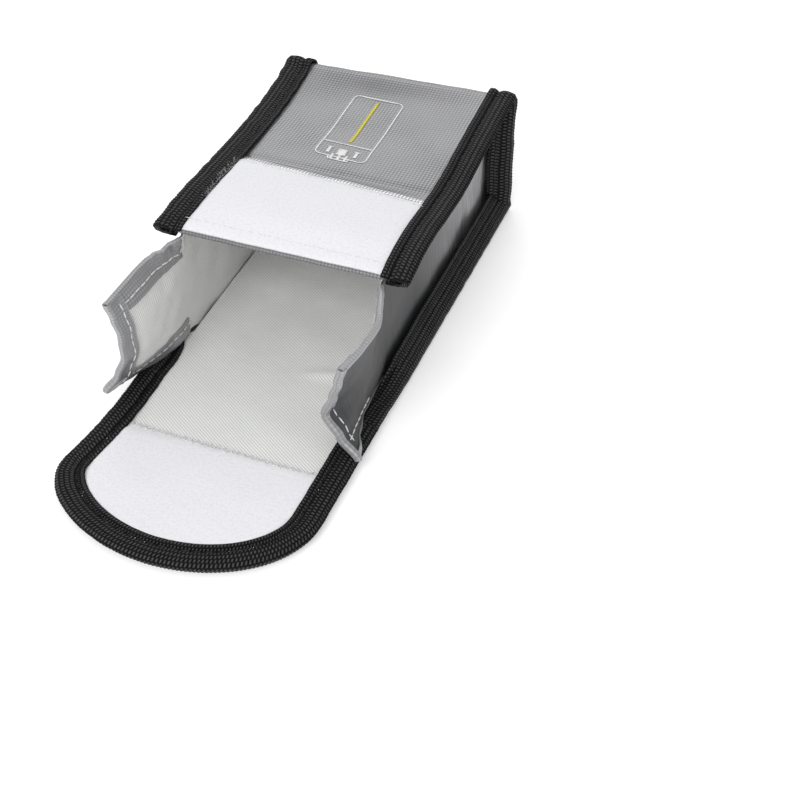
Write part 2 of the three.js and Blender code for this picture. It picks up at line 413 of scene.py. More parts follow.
class Weaves:
    """Shader groups that more than one finish uses. Each is built once."""

    def __init__(self) -> None:
        """Builds every group."""
        self.square = self._square()
        self.twill = self._twill()
        self.herringbone = self._herringbone()
        self.unevenness = self._unevenness()

    @staticmethod
    def _cell(graph: Graph, along: object, pitch: object) -> Socket:
        """A run of round ridges with a pitch, 0 in the grooves and 1 on top."""
        turns = graph.times(graph.math("DIVIDE", along, pitch), math.pi)
        return graph.math("ABSOLUTE", graph.math("SINE", turns))

    def _square(self) -> bpy.types.NodeTree:
        """A plain weave of small pillows in rows."""
        inputs = [("Position", "NodeSocketVector", 0), ("Pitch", "NodeSocketFloat", 0.001)]
        graph, given, result = new_group("square_weave", inputs, ["Pillow"])
        xyz = graph.split(given.outputs["Position"])
        pitch = given.outputs["Pitch"]
        u, v = self._cell(graph, xyz[0], pitch), self._cell(graph, xyz[1], pitch)
        graph.feed(result.inputs["Pillow"], graph.times(u, v))
        return graph.tree

    def _twill(self) -> bpy.types.NodeTree:
        """Fine slanting ribs, broken up along their length."""
        inputs = [("Position", "NodeSocketVector", 0), ("Pitch", "NodeSocketFloat", 0.0006)]
        graph, given, result = new_group("twill_weave", inputs, ["Rib", "Yarn"])
        xyz = graph.split(given.outputs["Position"])
        pitch = given.outputs["Pitch"]
        across = graph.math("ADD", xyz[1], graph.times(xyz[0], 0.7))
        along = graph.less(xyz[1], xyz[0])
        graph.set(result, {"Rib": self._cell(graph, across, pitch),
                           "Yarn": self._cell(graph, along, graph.times(pitch, 0.8))})
        return graph.tree

    def _herringbone(self) -> bpy.types.NodeTree:
        """Slanting ribs, half a pitch further on from one column to the next, as in woven binding tape."""
        inputs = [("Position", "NodeSocketVector", 0), ("Pitch", "NodeSocketFloat", 0.0009),
                  ("Column", "NodeSocketFloat", 0.0014)]
        graph, given, result = new_group("herringbone_weave", inputs, ["Rib", "Column edge"])
        xyz = graph.split(given.outputs["Position"])
        column = graph.math("FLOOR", graph.math("DIVIDE", xyz[0], given.outputs["Column"]))
        swing = graph.times(column, graph.times(given.outputs["Pitch"], 0.5))
        swing = graph.math("MULTIPLY_ADD", xyz[0], 0.3, swing)
        along = graph.math("ADD", xyz[1], swing)
        graph.set(result, {"Rib": self._cell(graph, along, given.outputs["Pitch"]),
                           "Column edge": self._cell(graph, xyz[0], given.outputs["Column"])})
        return graph.tree

    def _unevenness(self) -> bpy.types.NodeTree:
        """Broad and fine variation in tone."""
        inputs = [("Position", "NodeSocketVector", 0), ("Size", "NodeSocketFloat", 0.02)]
        graph, given, result = new_group("unevenness", inputs, ["Broad", "Fine"])
        scaled = graph.node("ShaderNodeVectorMath", {
            0: given.outputs["Position"], "Scale": graph.math("DIVIDE", 1.0, given.outputs["Size"])},
            operation="SCALE").outputs[0]
        graph.set(result, {"Broad": graph.noise(scaled, 1.0, 3.0), "Fine": graph.noise(scaled, 40.0, 2.0)})
        return graph.tree


def new_material(name: str) -> tuple[Material, Graph, Node]:
    """A new material, its graph and its shader."""
    material = bpy.data.materials.new(name)
    material.use_nodes = True
    return material, Graph(material.node_tree), material.node_tree.nodes["Principled BSDF"]


@dataclass(frozen=True)
class Finish:
    """What every finish shares: its name and the groups it draws on."""

    name: str
    weaves: Weaves

    def start(self) -> tuple[Material, Graph, Node, Socket]:
        """A new material.

        Returns:
            The material, its graph, its shader and the cloth position.
        """
        material, graph, shader = new_material(self.name)
        position = graph.node("ShaderNodeUVMap", uv_map=CLOTH_MAP)
        return material, graph, shader, position.outputs["UV"]

    def group(self, graph: Graph, tree: bpy.types.NodeTree, **values: object) -> Node:
        """Places a shader group and sets its inputs."""
        made = graph.node("ShaderNodeGroup", node_tree=tree)
        graph.set(made, values)
        return made

    @staticmethod
    def bump(graph: Graph, shader: Node, height: object, distance: float, strength: float = 1.0) -> None:
        """Raises the surface by height times distance, in metres."""
        bump = graph.node("ShaderNodeBump", {"Distance": distance, "Strength": strength, "Height": height})
        graph.feed(shader.inputs["Normal"], bump.outputs["Normal"])


@dataclass(frozen=True)
class CoatedFabric(Finish):
    """Silver coated glass-fibre cloth with a fine square grid.

    Attributes:
        dark: Colour between the squares.
        light: Colour on the squares.
        pitch: Size of a square, in metres.
        grid: How strongly the grid shows, from 0 to 1.
        shaded: Colour of the painted shade that the cloth darkens to at its mouth end, standing in for a dark
            reflection.
        shade_span: Where the painted shade starts and ends, along the cloth, in metres.
        highlight_band: Middle of a band of painted highlight across the cloth, standing in for the glint on a
            ridge, and half its width, in metres.
        metal: How metallic the squares are, from 0 to 1.
    """

    dark: Rgba = (0.07, 0.071, 0.075, 1)
    light: Rgba = (0.33, 0.332, 0.342, 1)
    pitch: float = 0.00092
    grid: float = 1.0
    shaded: Rgba = (0.035, 0.036, 0.038, 1)
    shade_span: tuple[float, float] = (0.0, 0.0)
    highlight_band: tuple[float, float] = (0.0, 0.0)
    metal: float = 0.5

    def make(self) -> Material:
        """Builds the material."""
        material, graph, shader, position = self.start()
        weave = self.group(graph, self.weaves.square, Position=position, Pitch=self.pitch)
        uneven = self.group(graph, self.weaves.unevenness, Position=position, Size=0.016)
        xyz = graph.split(position)
        pillow = graph.math("POWER", weave.outputs["Pillow"], 0.8)
        shown = graph.remap(uneven.outputs["Broad"], 0.35, 0.65, 0.6 * self.grid, self.grid)
        tone = graph.less(1.0, graph.times(shown, graph.less(1.0, pillow)))
        tone = graph.times(tone, graph.remap(uneven.outputs["Broad"], 0.3, 0.7, 0.62, 1.1), clamp=True)
        fine = graph.less(uneven.outputs["Fine"], 0.5)
        tone = graph.math("MULTIPLY_ADD", fine, 0.2, tone, clamp=True)
        colour = graph.mix(tone, self.dark, self.light)
        # Painted highlight: a band of bright squares standing in for the glint on a ridge of the cloth.
        if self.highlight_band[1]:
            row = graph.math("MULTIPLY_ADD", xyz[0], LOOP_SKEW, xyz[1])
            near = graph.math("ABSOLUTE", graph.less(row, self.highlight_band[0]))
            painted_highlight = graph.times(graph.remap(near, self.highlight_band[1], self.highlight_band[1] * 1.2, 1, 0), pillow)
            colour = graph.mix(painted_highlight, colour, (0.85, 0.85, 0.87, 1))
        # Painted shade: the cloth darkens towards the mouth end, with streaks, standing in for the dark
        # reflection that the coated side panel shows there.
        if self.shade_span[0] != self.shade_span[1]:
            streaks = graph.noise(graph.stretched(position, (1500.0, 60.0, 1.0)), 1.0, 3.0)
            far = graph.remap(xyz[0], self.shade_span[0], self.shade_span[1], 0.08, 1.0)
            far = graph.times(far, graph.remap(streaks, 0.3, 0.7, 0.6, 1.3), clamp=True)
            colour = graph.mix(far, self.shaded, colour)
        rough = 0.58 - 0.6 * self.metal
        graph.set(shader, {
            "Base Color": colour,
            "Roughness": graph.remap(uneven.outputs["Broad"], 0.25, 0.75, rough, rough + 0.14),
            "Metallic": graph.remap(pillow, 0.0, 1.0, 0.5 * self.metal, self.metal),
            "Coat Weight": 0.4 * self.metal, "Coat Roughness": 0.2})
        height = graph.times(pillow, 0.5 * self.grid)
        height = graph.math("MULTIPLY_ADD", uneven.outputs["Broad"], 0.6, height)
        self.bump(graph, shader, height, 0.00012, 0.7)
        return material


@dataclass(frozen=True)
class TwillLining(Finish):
    """Off-white twill.

    Attributes:
        valley: Colour between the ribs.
        rib: Colour on the ribs.
        pitch: From rib to rib, in metres.
    """

    valley: Rgba = (0.58, 0.58, 0.565, 1)
    rib: Rgba = (0.98, 0.98, 0.97, 1)
    pitch: float = 0.00082

    def make(self) -> Material:
        """Builds the material."""
        material, graph, shader, position = self.start()
        weave = self.group(graph, self.weaves.twill, Position=position, Pitch=self.pitch)
        uneven = self.group(graph, self.weaves.unevenness, Position=position, Size=0.02)
        rib = graph.math("POWER", weave.outputs["Rib"], 0.55)
        tone = graph.times(rib, graph.remap(uneven.outputs["Broad"], 0.3, 0.7, 0.86, 1.05), clamp=True)
        tone = graph.times(tone, graph.remap(weave.outputs["Yarn"], 0, 1, 0.9, 1.0), clamp=True)
        graph.set(shader, {"Base Color": graph.mix(tone, self.valley, self.rib), "Sheen Weight": 0.15,
                           "Roughness": graph.remap(uneven.outputs["Fine"], 0.3, 0.7, 0.55, 0.75)})
        self.bump(graph, shader, graph.math("MULTIPLY_ADD", weave.outputs["Yarn"], 0.2, rib), 0.00014, 0.8)
        return material


@dataclass(frozen=True)
class BindingTape(Finish):
    """Black woven tape.

    Attributes:
        deep: Colour between the yarns.
        yarn: Colour on the yarns.
        pitch: From rib to rib, in metres.
        seam: Distance of the sewn groove from the tape's edge, in metres.
    """

    deep: Rgba = (0.0015, 0.0015, 0.0018, 1)
    yarn: Rgba = (0.10, 0.10, 0.102, 1)
    pitch: float = 0.001
    seam: float = 0.0023

    def make(self) -> Material:
        """Builds the material."""
        material, graph, shader, position = self.start()
        weave = self.group(graph, self.weaves.herringbone, Position=position, Pitch=self.pitch, Column=0.0013)
        uneven = self.group(graph, self.weaves.unevenness, Position=position, Size=0.012)
        column = graph.remap(weave.outputs["Column edge"], 0, 0.7, 0.3, 1.0)
        rib = graph.times(weave.outputs["Rib"], column)
        xyz = graph.split(position)
        sewn = graph.math("ABSOLUTE", graph.less(xyz[0], self.seam))
        tone = graph.times(graph.math("POWER", rib, 3.6), graph.remap(sewn, 0.0002, 0.0006, 0.1, 1.0))
        tone = graph.times(tone, graph.remap(uneven.outputs["Fine"], 0.3, 0.7, 0.25, 1.3), clamp=True)
        graph.set(shader, {"Base Color": graph.mix(tone, self.deep, self.yarn), "Specular IOR Level": 0.14,
                           "Roughness": graph.remap(uneven.outputs["Broad"], 0.3, 0.7, 0.62, 0.5)})
        self.bump(graph, shader, rib, 0.00028, 0.9)
        return material


@dataclass(frozen=True)
class Pile(Finish):
    """White hook or loop fastener.

    Attributes:
        base: Its colour.
        shade: The colour in its hollows.
    """

    base: Rgba = (0.9, 0.9, 0.93, 1)
    shade: Rgba = (0.8, 0.8, 0.84, 1)

    def make(self) -> Material:
        """Builds the material."""
        material, graph, shader, position = self.start()
        uneven = self.group(graph, self.weaves.unevenness, Position=position, Size=0.025)
        tufts = graph.noise(position, 1400.0, 4.0)
        tone = graph.remap(tufts, 0.3, 0.55, 0.2, 1.0)
        tone = graph.times(tone, graph.remap(uneven.outputs["Broad"], 0.3, 0.7, 0.9, 1.0), clamp=True)
        graph.set(shader, {"Base Color": graph.mix(tone, self.shade, self.base), "Roughness": 0.9,
                           "Sheen Weight": 0.3})
        self.bump(graph, shader, tufts, 0.0002, 0.4)
        return material


@dataclass(frozen=True)
class Plain(Finish):
    """Thread and print ink: one colour with fine variation.

    Attributes:
        tone: The colour.
        roughness: How matt it is.
    """

    tone: Rgba = (0.85, 0.85, 0.84, 1)
    roughness: float = 0.6

    def make(self) -> Material:
        """Builds the material."""
        material, graph, shader = new_material(self.name)
        place = graph.node("ShaderNodeTexCoord").outputs["Object"]
        grain = graph.noise(place, 2500.0, 2.0)
        darker = tuple(0.72 * c for c in self.tone[:3]) + (1.0,)
        colour = graph.mix(graph.remap(grain, 0.35, 0.6, 0, 1), darker, self.tone)
        graph.set(shader, {"Base Color": colour, "Roughness": self.roughness})
        self.bump(graph, shader, grain, 0.00003, 0.5)
        return material


@dataclass
class Finishes:
    """Every material of the pouch."""

    silver: Material
    top_silver: Material
    side_silver: Material
    hem_silver: Material
    twill: Material
    tape: Material
    pile: Material
    thread: Material
    black_thread: Material
    ink: Material
    yellow_ink: Material

    @classmethod
    def make(cls) -> "Finishes":
        """Builds them all."""
        weaves = Weaves()
        return cls(
            silver=CoatedFabric("coated_fabric", weaves).make(),
            # The top panel's painted highlight band lies on the shell's ridge behind the loop fastener.
            top_silver=CoatedFabric("coated_fabric_top", weaves,
                                    highlight_band=((MOUTH_Y + LOOP_END + RIDGE_GAP) * MM, 0.00105)).make(),
            # The side panels carry painted shade towards the mouth.
            side_silver=CoatedFabric("coated_fabric_side", weaves, grid=0.35, shade_span=(-0.02, 0.04), metal=0.08,
                                     dark=(0.28, 0.282, 0.295, 1), light=(0.52, 0.522, 0.535, 1)).make(),
            hem_silver=CoatedFabric("coated_fabric_hem", weaves, grid=0.7, metal=0.4,
                                    dark=(0.12, 0.122, 0.13, 1), light=(0.5, 0.5, 0.515, 1)).make(),
            twill=TwillLining("twill_lining", weaves).make(),
            tape=BindingTape("binding_tape", weaves).make(),
            pile=Pile("fastener_pile", weaves).make(),
            thread=Plain("white_thread", weaves).make(),
            black_thread=Plain("black_thread", weaves, tone=(0.012, 0.012, 0.013, 1), roughness=0.5).make(),
            ink=Plain("white_ink", weaves, tone=(1.0, 1.0, 1.0, 1), roughness=0.6).make(),
            yellow_ink=Plain("yellow_ink", weaves, tone=(0.8, 0.72, 0.03, 1), roughness=0.45).make(),
        )


# ---------------------------------------------------------------- the pouch's shape


@dataclass(frozen=True)
class PouchForm:
    """The surfaces that the pieces follow.

    Attributes:
        left_edge: Distance back from the mouth and height of the top panel's left edge.
        right_edge: The same for its right edge.
        taper: How much narrower each side is at the closed end.
    """

    left_edge: tuple[tuple[float, float], ...] = (
        (-1, 34.3), (5, 35.3), (13, 36.1), (22, 36.0), (34, 35.3), (48, 34.6), (60, 34.3), (72, 34.8),
        (87, 37.0))
    right_edge: tuple[tuple[float, float], ...] = (
        (-1, 34.3), (4, 35.3), (10, 36.2), (19, 36.3), (29, 35.6), (40, 35.3), (51, 36.2), (62, 37.0),
        (72, 37.6), (80, 38.1), (87, 38.6))
    taper: float = 1.0

    def half(self, y: np.ndarray) -> np.ndarray:
        """Half the body's width at y."""
        return HALF_WIDTH - 0.4 - self.taper * smooth(MOUTH_Y + 20, END_Y, y)

    def edge_height(self, side: Side, y: np.ndarray) -> np.ndarray:
        """Height of the top panel's edge."""
        backs, heights = zip(*(self.left_edge if side is Side.LEFT else self.right_edge))
        back = np.ravel(np.asarray(y, float) - MOUTH_Y)
        return spline(backs, np.array(heights), back).reshape(np.shape(y))

    def top(self, x: np.ndarray, y: np.ndarray) -> np.ndarray:
        """Height of the top panel's outer face."""
        share = np.clip((x / HALF_WIDTH + 1) / 2, -0.15, 1.15)
        lean = self.edge_height(Side.LEFT, y) * (1 - share) + self.edge_height(Side.RIGHT, y) * share
        back = y - MOUTH_Y
        sag = -0.7 * np.clip(1 - (x / 27) ** 2, 0, 1) * smooth(38, 60, back) * (1 - smooth(76, 86, back))
        crown = 0.5 * np.clip(1 - (x / 27) ** 2, 0, 1) * smooth(2, 10, back) * (1 - smooth(26, 36, back))
        step = -0.35 * (1 - smooth(0.0, 3.0, np.abs(back - 36.0)))
        return lean + sag + crown + step + 0.10 * ripple(x, y, 16, 3)

    def seam_reach(self, side: Side, y: float) -> float:
        """How far out the top seam's tape stands."""
        knots = (0, 9, 22, 45, 66, 86)
        reach = {Side.LEFT: (34.7, 34.0, 33.4, 33.6, 34.2, 34.8),
                 Side.RIGHT: (34.6, 34.5, 34.4, 34.4, 34.0, 33.7)}
        return float(np.interp(y - MOUTH_Y, knots, reach[side]))


FORM = PouchForm()


@dataclass(frozen=True)
class EarForm:
    """How an ear stands: its offset outwards from the straight continuation of its side panel.

    Attributes:
        side: Which ear.
        reach: Distances forward from the mouth.
        heights: Heights of the rows of offsets.
        offsets: One row for each height, one number for each reach.
        shorten: How much shorter the front edge is at each height.
        crumple: Depth of the small wrinkles in its top hem.
        droop: How much lower its top front corner hangs.
    """

    side: Side
    reach: tuple[float, ...]
    heights: tuple[float, ...]
    offsets: tuple[tuple[float, ...], ...]
    shorten: tuple[float, ...]
    crumple: float = 0.15
    droop: float = 2.2

    def place(self, u: np.ndarray, t: np.ndarray) -> np.ndarray:
        """Points on the ear's outer face.

        Args:
            u: Distance forward along the cloth, 0 at the mouth.
            t: 0 at the bottom edge and 1 at the top edge.

        Returns:
            The points, in millimetres.
        """
        u, t = np.broadcast_arrays(np.asarray(u, float), np.asarray(t, float))
        shape, u, t = u.shape, u.ravel(), t.ravel()
        z = self.heights[0] + t * (self.heights[-1] - self.heights[0])
        by_reach = spline(self.reach, np.array(self.offsets).T, u, 0.45)
        shares = spline(self.heights, np.eye(len(self.heights)), z, 0.9)
        out = (by_reach * shares).sum(axis=1)
        near_mouth = (1 - smooth(9, 14, u)) * smooth(0, 2, u)
        out += self.crumple * ripple(u, z, 3.6, 16) * smooth(24, 31, z) * near_mouth
        out += 0.10 * ripple(u, z, 9, 15) * smooth(0, 3, u)
        cut = shares @ np.array(self.shorten)
        x = self.side.value * (HALF_WIDTH - 0.4 + out)
        y = MOUTH_Y - u * (1 - cut)
        z = z - self.droop * t * smooth(10, 33, u)
        return np.stack([x, y, z], axis=1).reshape(shape + (3,))


LEFT_EAR = EarForm(
    Side.LEFT, (0, 7, 13, 23, 29, 32),
    (3.2, 8.8, 14.0, 21.0, 27.6, 32.7),
    ((0.1, 0.0, 1.3, 5.3, 7.6, 8.6),
     (0.0, 0.0, 0.4, 1.9, 4.2, 5.2),
     (0.0, 0.0, 0.2, 1.0, 2.9, 3.6),
     (0.0, 0.0, 0.3, 1.2, 2.8, 3.3),
     (0.0, 0.6, 1.4, 2.1, 3.3, 3.8),
     (-0.3, 1.5, 3.5, 4.4, 4.7, 4.9)),
    (0.03, 0.08, 0.115, 0.09, 0.05, 0.025), 0.3, 1.0)
RIGHT_EAR = EarForm(
    Side.RIGHT, (0, 8, 16, 24, 30, 33.5),
    (3.2, 8.0, 13.4, 21.0, 27.0, 32.7),
    ((0.1, 0.1, 0.3, 2.4, 4.9, 6.0),
     (0.1, 0.6, 0.9, 0.9, 0.8, 0.7),
     (0.0, 1.0, 1.4, -0.4, -3.0, -3.8),
     (0.0, 1.2, 2.2, 1.2, -0.4, -0.9),
     (0.0, 1.7, 3.4, 2.8, 1.3, 0.8),
     (-0.3, 2.4, 4.8, 3.9, 2.7, 2.2)),
    (0.035, 0.07, 0.10, 0.07, 0.04, 0.02))


def flap_edge(inset: float, spacing: float = 1.0) -> np.ndarray:
    """The flap's outline from the left join in the cover round the tip to the right one.

    Args:
        inset: How far inside the outer edge.
        spacing: Between points.

    Returns:
        Points in x and y.
    """
    round_y = FLAP_TIP_Y + FLAP_RISE
    half, rise = FLAP_HALF - inset, FLAP_RISE - inset
    angle = np.linspace(math.pi, 2 * math.pi, 90)
    arc = np.stack([half * np.cos(angle), round_y + rise * np.sin(angle)], axis=1)
    run = np.concatenate([[[-half, COVER_JOIN_Y]], arc, [[half, COVER_JOIN_Y]]])
    run = resample(run, spacing)
    run[:, 0] += flap_shift(run[:, 1]) * smooth(4, 24, -run[:, 0])
    return run


def flap_shift(y: np.ndarray) -> np.ndarray:
    """How far the flap's left edge lies inside (above 0) or outside (below 0) a mirror of its right edge."""
    bulge = 1.7 * np.exp(-(((y - (MOUTH_Y - 61)) / 12) ** 2))
    dip = 0.9 * np.exp(-(((y - (MOUTH_Y - 30)) / 16) ** 2))
    return dip - bulge


def flap_depth(x: np.ndarray, y: np.ndarray) -> np.ndarray:
    """Roughly how far inside the flap's outer edge a point lies."""
    x = np.where(x < 0, np.abs(x) + flap_shift(y) * smooth(4, 24, -x), np.abs(x))
    down = np.maximum(FLAP_TIP_Y + FLAP_RISE - y, 0)
    return (1 - np.sqrt((x / FLAP_HALF) ** 2 + (down / FLAP_RISE) ** 2)) * np.where(down > 0, 29, FLAP_HALF)


# ---------------------------------------------------------------- folded tape


@dataclass
class TapeStation:
    """One place along a folded tape.

    Attributes:
        tip: Middle of the fold.
        out: Direction from the cloth to the fold.
        up: Direction from the lower leaf to the upper leaf.
        open_upper: How far the upper leaf opens, in degrees.
        open_lower: The same for the lower leaf.
        gap: Between the leaves at the fold.
        upper: Width of the upper leaf.
        lower: Width of the lower leaf.
    """

    tip: tuple[float, float, float]
    out: tuple[float, float, float]
    up: tuple[float, float, float]
    open_upper: float = 0.0
    open_lower: float = 0.0
    gap: float = 2.4
    upper: float = TAPE_WIDTH
    lower: float = TAPE_WIDTH

    def numbers(self) -> np.ndarray:
        """The station as one row of numbers."""
        shape = (self.open_upper, self.open_lower, self.gap, self.upper, self.lower)
        return np.array([*self.tip, *self.out, *self.up, *shape], float)


@dataclass
class FoldedTape:
    """A woven tape folded round an edge and sewn through.

    Attributes:
        name: The piece's name.
        stations: Where it runs.
        thickness: Of the tape.
        seam: Distance of the stitching from the fold.
        seed: For its unevenness.
        spacing: Between rings of points.
        rib: Distance from one woven rib to the next.
        samples: Points across each leaf.
    """

    name: str
    stations: list[TapeStation]
    thickness: float = 0.62
    seam: float = 5.3
    seed: int = 1
    spacing: float = 0.25
    rib: float = 1.0
    samples: int = 13
    rings: np.ndarray = field(default_factory=lambda: np.zeros((0, 0, 3)))
    seam_runs: dict[Leaf, np.ndarray] = field(default_factory=dict)
    length: float = 0.0

    def _read(self) -> tuple[np.ndarray, np.ndarray]:
        """The stations, smoothed and evenly spaced, with the distance along the tape."""
        table = np.array([s.numbers() for s in self.stations])
        along = arc_length(table[:, :3])
        fine = np.linspace(0, along[-1], 600)
        dense = spline(along, table, fine, 0.25) if len(table) > 2 else spline(along, table, fine)
        real = arc_length(dense[:, :3])
        at = np.linspace(0, real[-1], int(real[-1] / self.spacing) + 1)
        return np.stack([np.interp(at, real, dense[:, i]) for i in range(dense.shape[1])], axis=1), at

    def _leaf(self, row: np.ndarray, leaf: Leaf, d: np.ndarray, face: float) -> np.ndarray:
        """Points on a leaf in the station's plane: distance outwards and upwards.

        Args:
            row: The station's shape numbers.
            leaf: Which leaf.
            d: Distance from the fold.
            face: Offset from the tape's middle, positive away from the other leaf.

        Returns:
            The points.
        """
        open_angle = math.radians(row[0] if leaf is Leaf.UPPER else row[1])
        gap = row[2] / 2
        round_off = gap * np.sqrt(np.clip(1 - (1 - np.clip(d / (1.3 * gap), 0, 1)) ** 2, 0, 1))
        groove = np.exp(-(((d - self.seam) / 0.6) ** 2))
        puff = 0.2 * np.exp(-(((d - self.seam * 0.55) / 1.9) ** 2))
        puff = puff + 0.14 * np.exp(-(((d - self.seam - 1.3) / 0.6) ** 2))
        rise = round_off + (face + (puff - 0.6 * groove if face > 0 else 0))
        bend = math.sin(open_angle) * 0.6 * (open_angle > 0.2)
        lift = rise * math.cos(open_angle) + d * math.sin(open_angle)
        return np.stack([rise * bend - d * math.cos(open_angle), leaf.value * lift], axis=1)

    def shape(self) -> None:
        """Works out the rings of points and the lines of stitching."""
        table, at = self._read()
        n = self.samples
        rings, runs = [], {Leaf.UPPER: [], Leaf.LOWER: []}
        shares = np.linspace(0, 1, n) ** 0.85
        around = ((Leaf.UPPER, slice(None, None, -1), 1), (Leaf.LOWER, slice(1, None), 1),
                  (Leaf.LOWER, slice(None, 3, -1), -1), (Leaf.UPPER, slice(4, None), -1))
        for i, row in enumerate(table):
            tip, out, up, form = row[:3], unit(row[3:6]), row[6:9], row[9:]
            up = unit(up - out * (up @ out))
            width = {Leaf.UPPER: form[3], Leaf.LOWER: form[4]}
            half = self.thickness / 2
            flat = np.concatenate([self._leaf(form, leaf, (shares * width[leaf])[order], face * half)
                                   for leaf, order, face in around])
            s = np.full(len(flat), at[i])
            across = np.arange(len(flat)) * 0.55
            fray = 0.05 * ripple(across, s, 2.6, self.seed) + 0.10 * ripple(flat[:, 0], s, 7, self.seed + 5)
            ribs = 0.06 * np.cos(2 * math.pi * s / self.rib + across * 1.3) * (across < 0.55 * (2 * n - 1))
            flat = flat + np.stack([0.9 * fray + ribs, fray * 0.7 + ribs * np.sign(flat[:, 1])], axis=1)
            rings.append(tip + flat[:, :1] * out + flat[:, 1:] * up)
            for leaf in Leaf if i % 4 == 0 else ():
                point = self._leaf(form, leaf, np.array([self.seam]), self.thickness / 2 + 0.02)[0]
                runs[leaf].append(tip + point[0] * out + point[1] * up)
        self.rings = np.array(rings)
        self.seam_runs = {leaf: np.array(run) for leaf, run in runs.items()}
        self.length = float(at[-1])

    def build(self, material: Material) -> Thing:
        """The tape as a closed mesh.

        Args:
            material: Its finish.

        Returns:
            The piece.
        """
        self.shape()
        rows, cols = self.rings.shape[:2]
        across = np.concatenate([arc_length(self.rings[rows // 2]), [0]])
        across[-1] = across[-2] + 0.6
        along = np.linspace(0, self.length, rows)
        i, j = (a.ravel() for a in np.meshgrid(np.arange(rows - 1), np.arange(cols), indexing="ij"))
        k = (j + 1) % cols
        quads = np.stack([i * cols + j, (i + 1) * cols + j, (i + 1) * cols + k, i * cols + k], axis=1)
        corners = ((j, i), (j, i + 1), (j + 1, i + 1), (j + 1, i))
        uv = np.stack([np.stack([across[a], along[b]], 1) for a, b in corners], axis=1)
        faces = [list(q) for q in quads]
        loops = [uv.reshape(-1, 2)]
        for ring, forward in ((0, True), (rows - 1, False)):
            start = ring * cols
            half = cols // 2 + 3
            for a in range(half - 1):
                b = cols - 1 - a
                if b - 1 <= a + 1:
                    break
                cap = [start + a, start + a + 1, start + b - 1, start + b]
                cap = cap if forward else cap[::-1]
                faces.append(cap)
                loops.append(np.array([[across[c - start], along[ring] + 0.3] for c in cap]))
        thing = make_object(self.name, self.rings.reshape(-1, 3), faces, np.concatenate(loops), material)
        if signed_volume(thing.data) < 0:
            thing.data.flip_normals()
        return thing


def signed_volume(mesh: bpy.types.Mesh) -> float:
    """The volume inside a closed mesh, negative if its faces point inwards."""
    mesh.calc_loop_triangles()
    co = np.array([v.co for v in mesh.vertices], float)
    tri = np.array([t.vertices for t in mesh.loop_triangles], int)
    a, b, c = co[tri[:, 0]], co[tri[:, 1]], co[tri[:, 2]]
    return float((a * np.cross(b, c)).sum() / 6)


# ---------------------------------------------------------------- repeated small things, by Geometry Nodes


class GeometryGraph(Graph):
    """A Geometry Nodes tree with named inputs."""

    def __init__(self, name: str, inputs: Sequence[tuple[str, str, object]]) -> None:
        """Starts the tree.

        Args:
            name: Its name.
            inputs: Name, socket type and default of each input after the geometry.
        """
        tree = bpy.data.node_groups.new(name, "GeometryNodeTree")
        tree.interface.new_socket("Geometry", in_out="INPUT", socket_type="NodeSocketGeometry")
        for label, kind, default in inputs:
            socket = tree.interface.new_socket(label, in_out="INPUT", socket_type=kind)
            if default is not None:
                socket.default_value = default
        tree.interface.new_socket("Geometry", in_out="OUTPUT", socket_type="NodeSocketGeometry")
        super().__init__(tree)
        self.given = self.node("NodeGroupInput")
        self.result = self.node("NodeGroupOutput")

    def place(self, points: Node, copy: Node, turn: Node,
              size: Node) -> None:
        """Puts a copy of a mesh on every point, gives it the finish and ends the tree.

        Args:
            points: The node with the points.
            copy: The node with the mesh.
            turn: The node with each copy's rotation.
            size: The node with each copy's scale.
        """
        placed = self.node("GeometryNodeInstanceOnPoints", {
            "Points": points.outputs["Points"], "Instance": copy.outputs["Mesh"],
            "Rotation": turn.outputs[0], "Scale": size.outputs[0]})
        real = self.node("GeometryNodeRealizeInstances", {0: placed.outputs[0]})
        dress = self.node("GeometryNodeSetMaterial", {
            "Geometry": real.outputs[0], "Material": self.given.outputs["Finish"]})
        self.feed(self.result.inputs[0], dress.outputs[0])

    def run(self, name: str, source: Thing, values: dict[str, object]) -> Thing:
        """Applies the tree to an object and keeps the result as a plain mesh.

        Args:
            name: The new piece's name.
            source: The object that the tree reads. It is removed.
            values: Value of each named input.

        Returns:
            The new piece.
        """
        modifier = source.modifiers.new("nodes", "NODES")
        modifier.node_group = self.tree
        for item in self.tree.interface.items_tree:
            if item.item_type == "SOCKET" and item.in_out == "INPUT" and item.name in values:
                modifier[item.identifier] = values[item.name]
        graph = bpy.context.evaluated_depsgraph_get()
        mesh = bpy.data.meshes.new_from_object(source.evaluated_get(graph), depsgraph=graph)
        source.modifiers.remove(modifier)
        bpy.data.objects.remove(source)
        mesh.name = name
        mesh.polygons.foreach_set("use_smooth", np.ones(len(mesh.polygons), bool))
        return add_object(name, mesh)


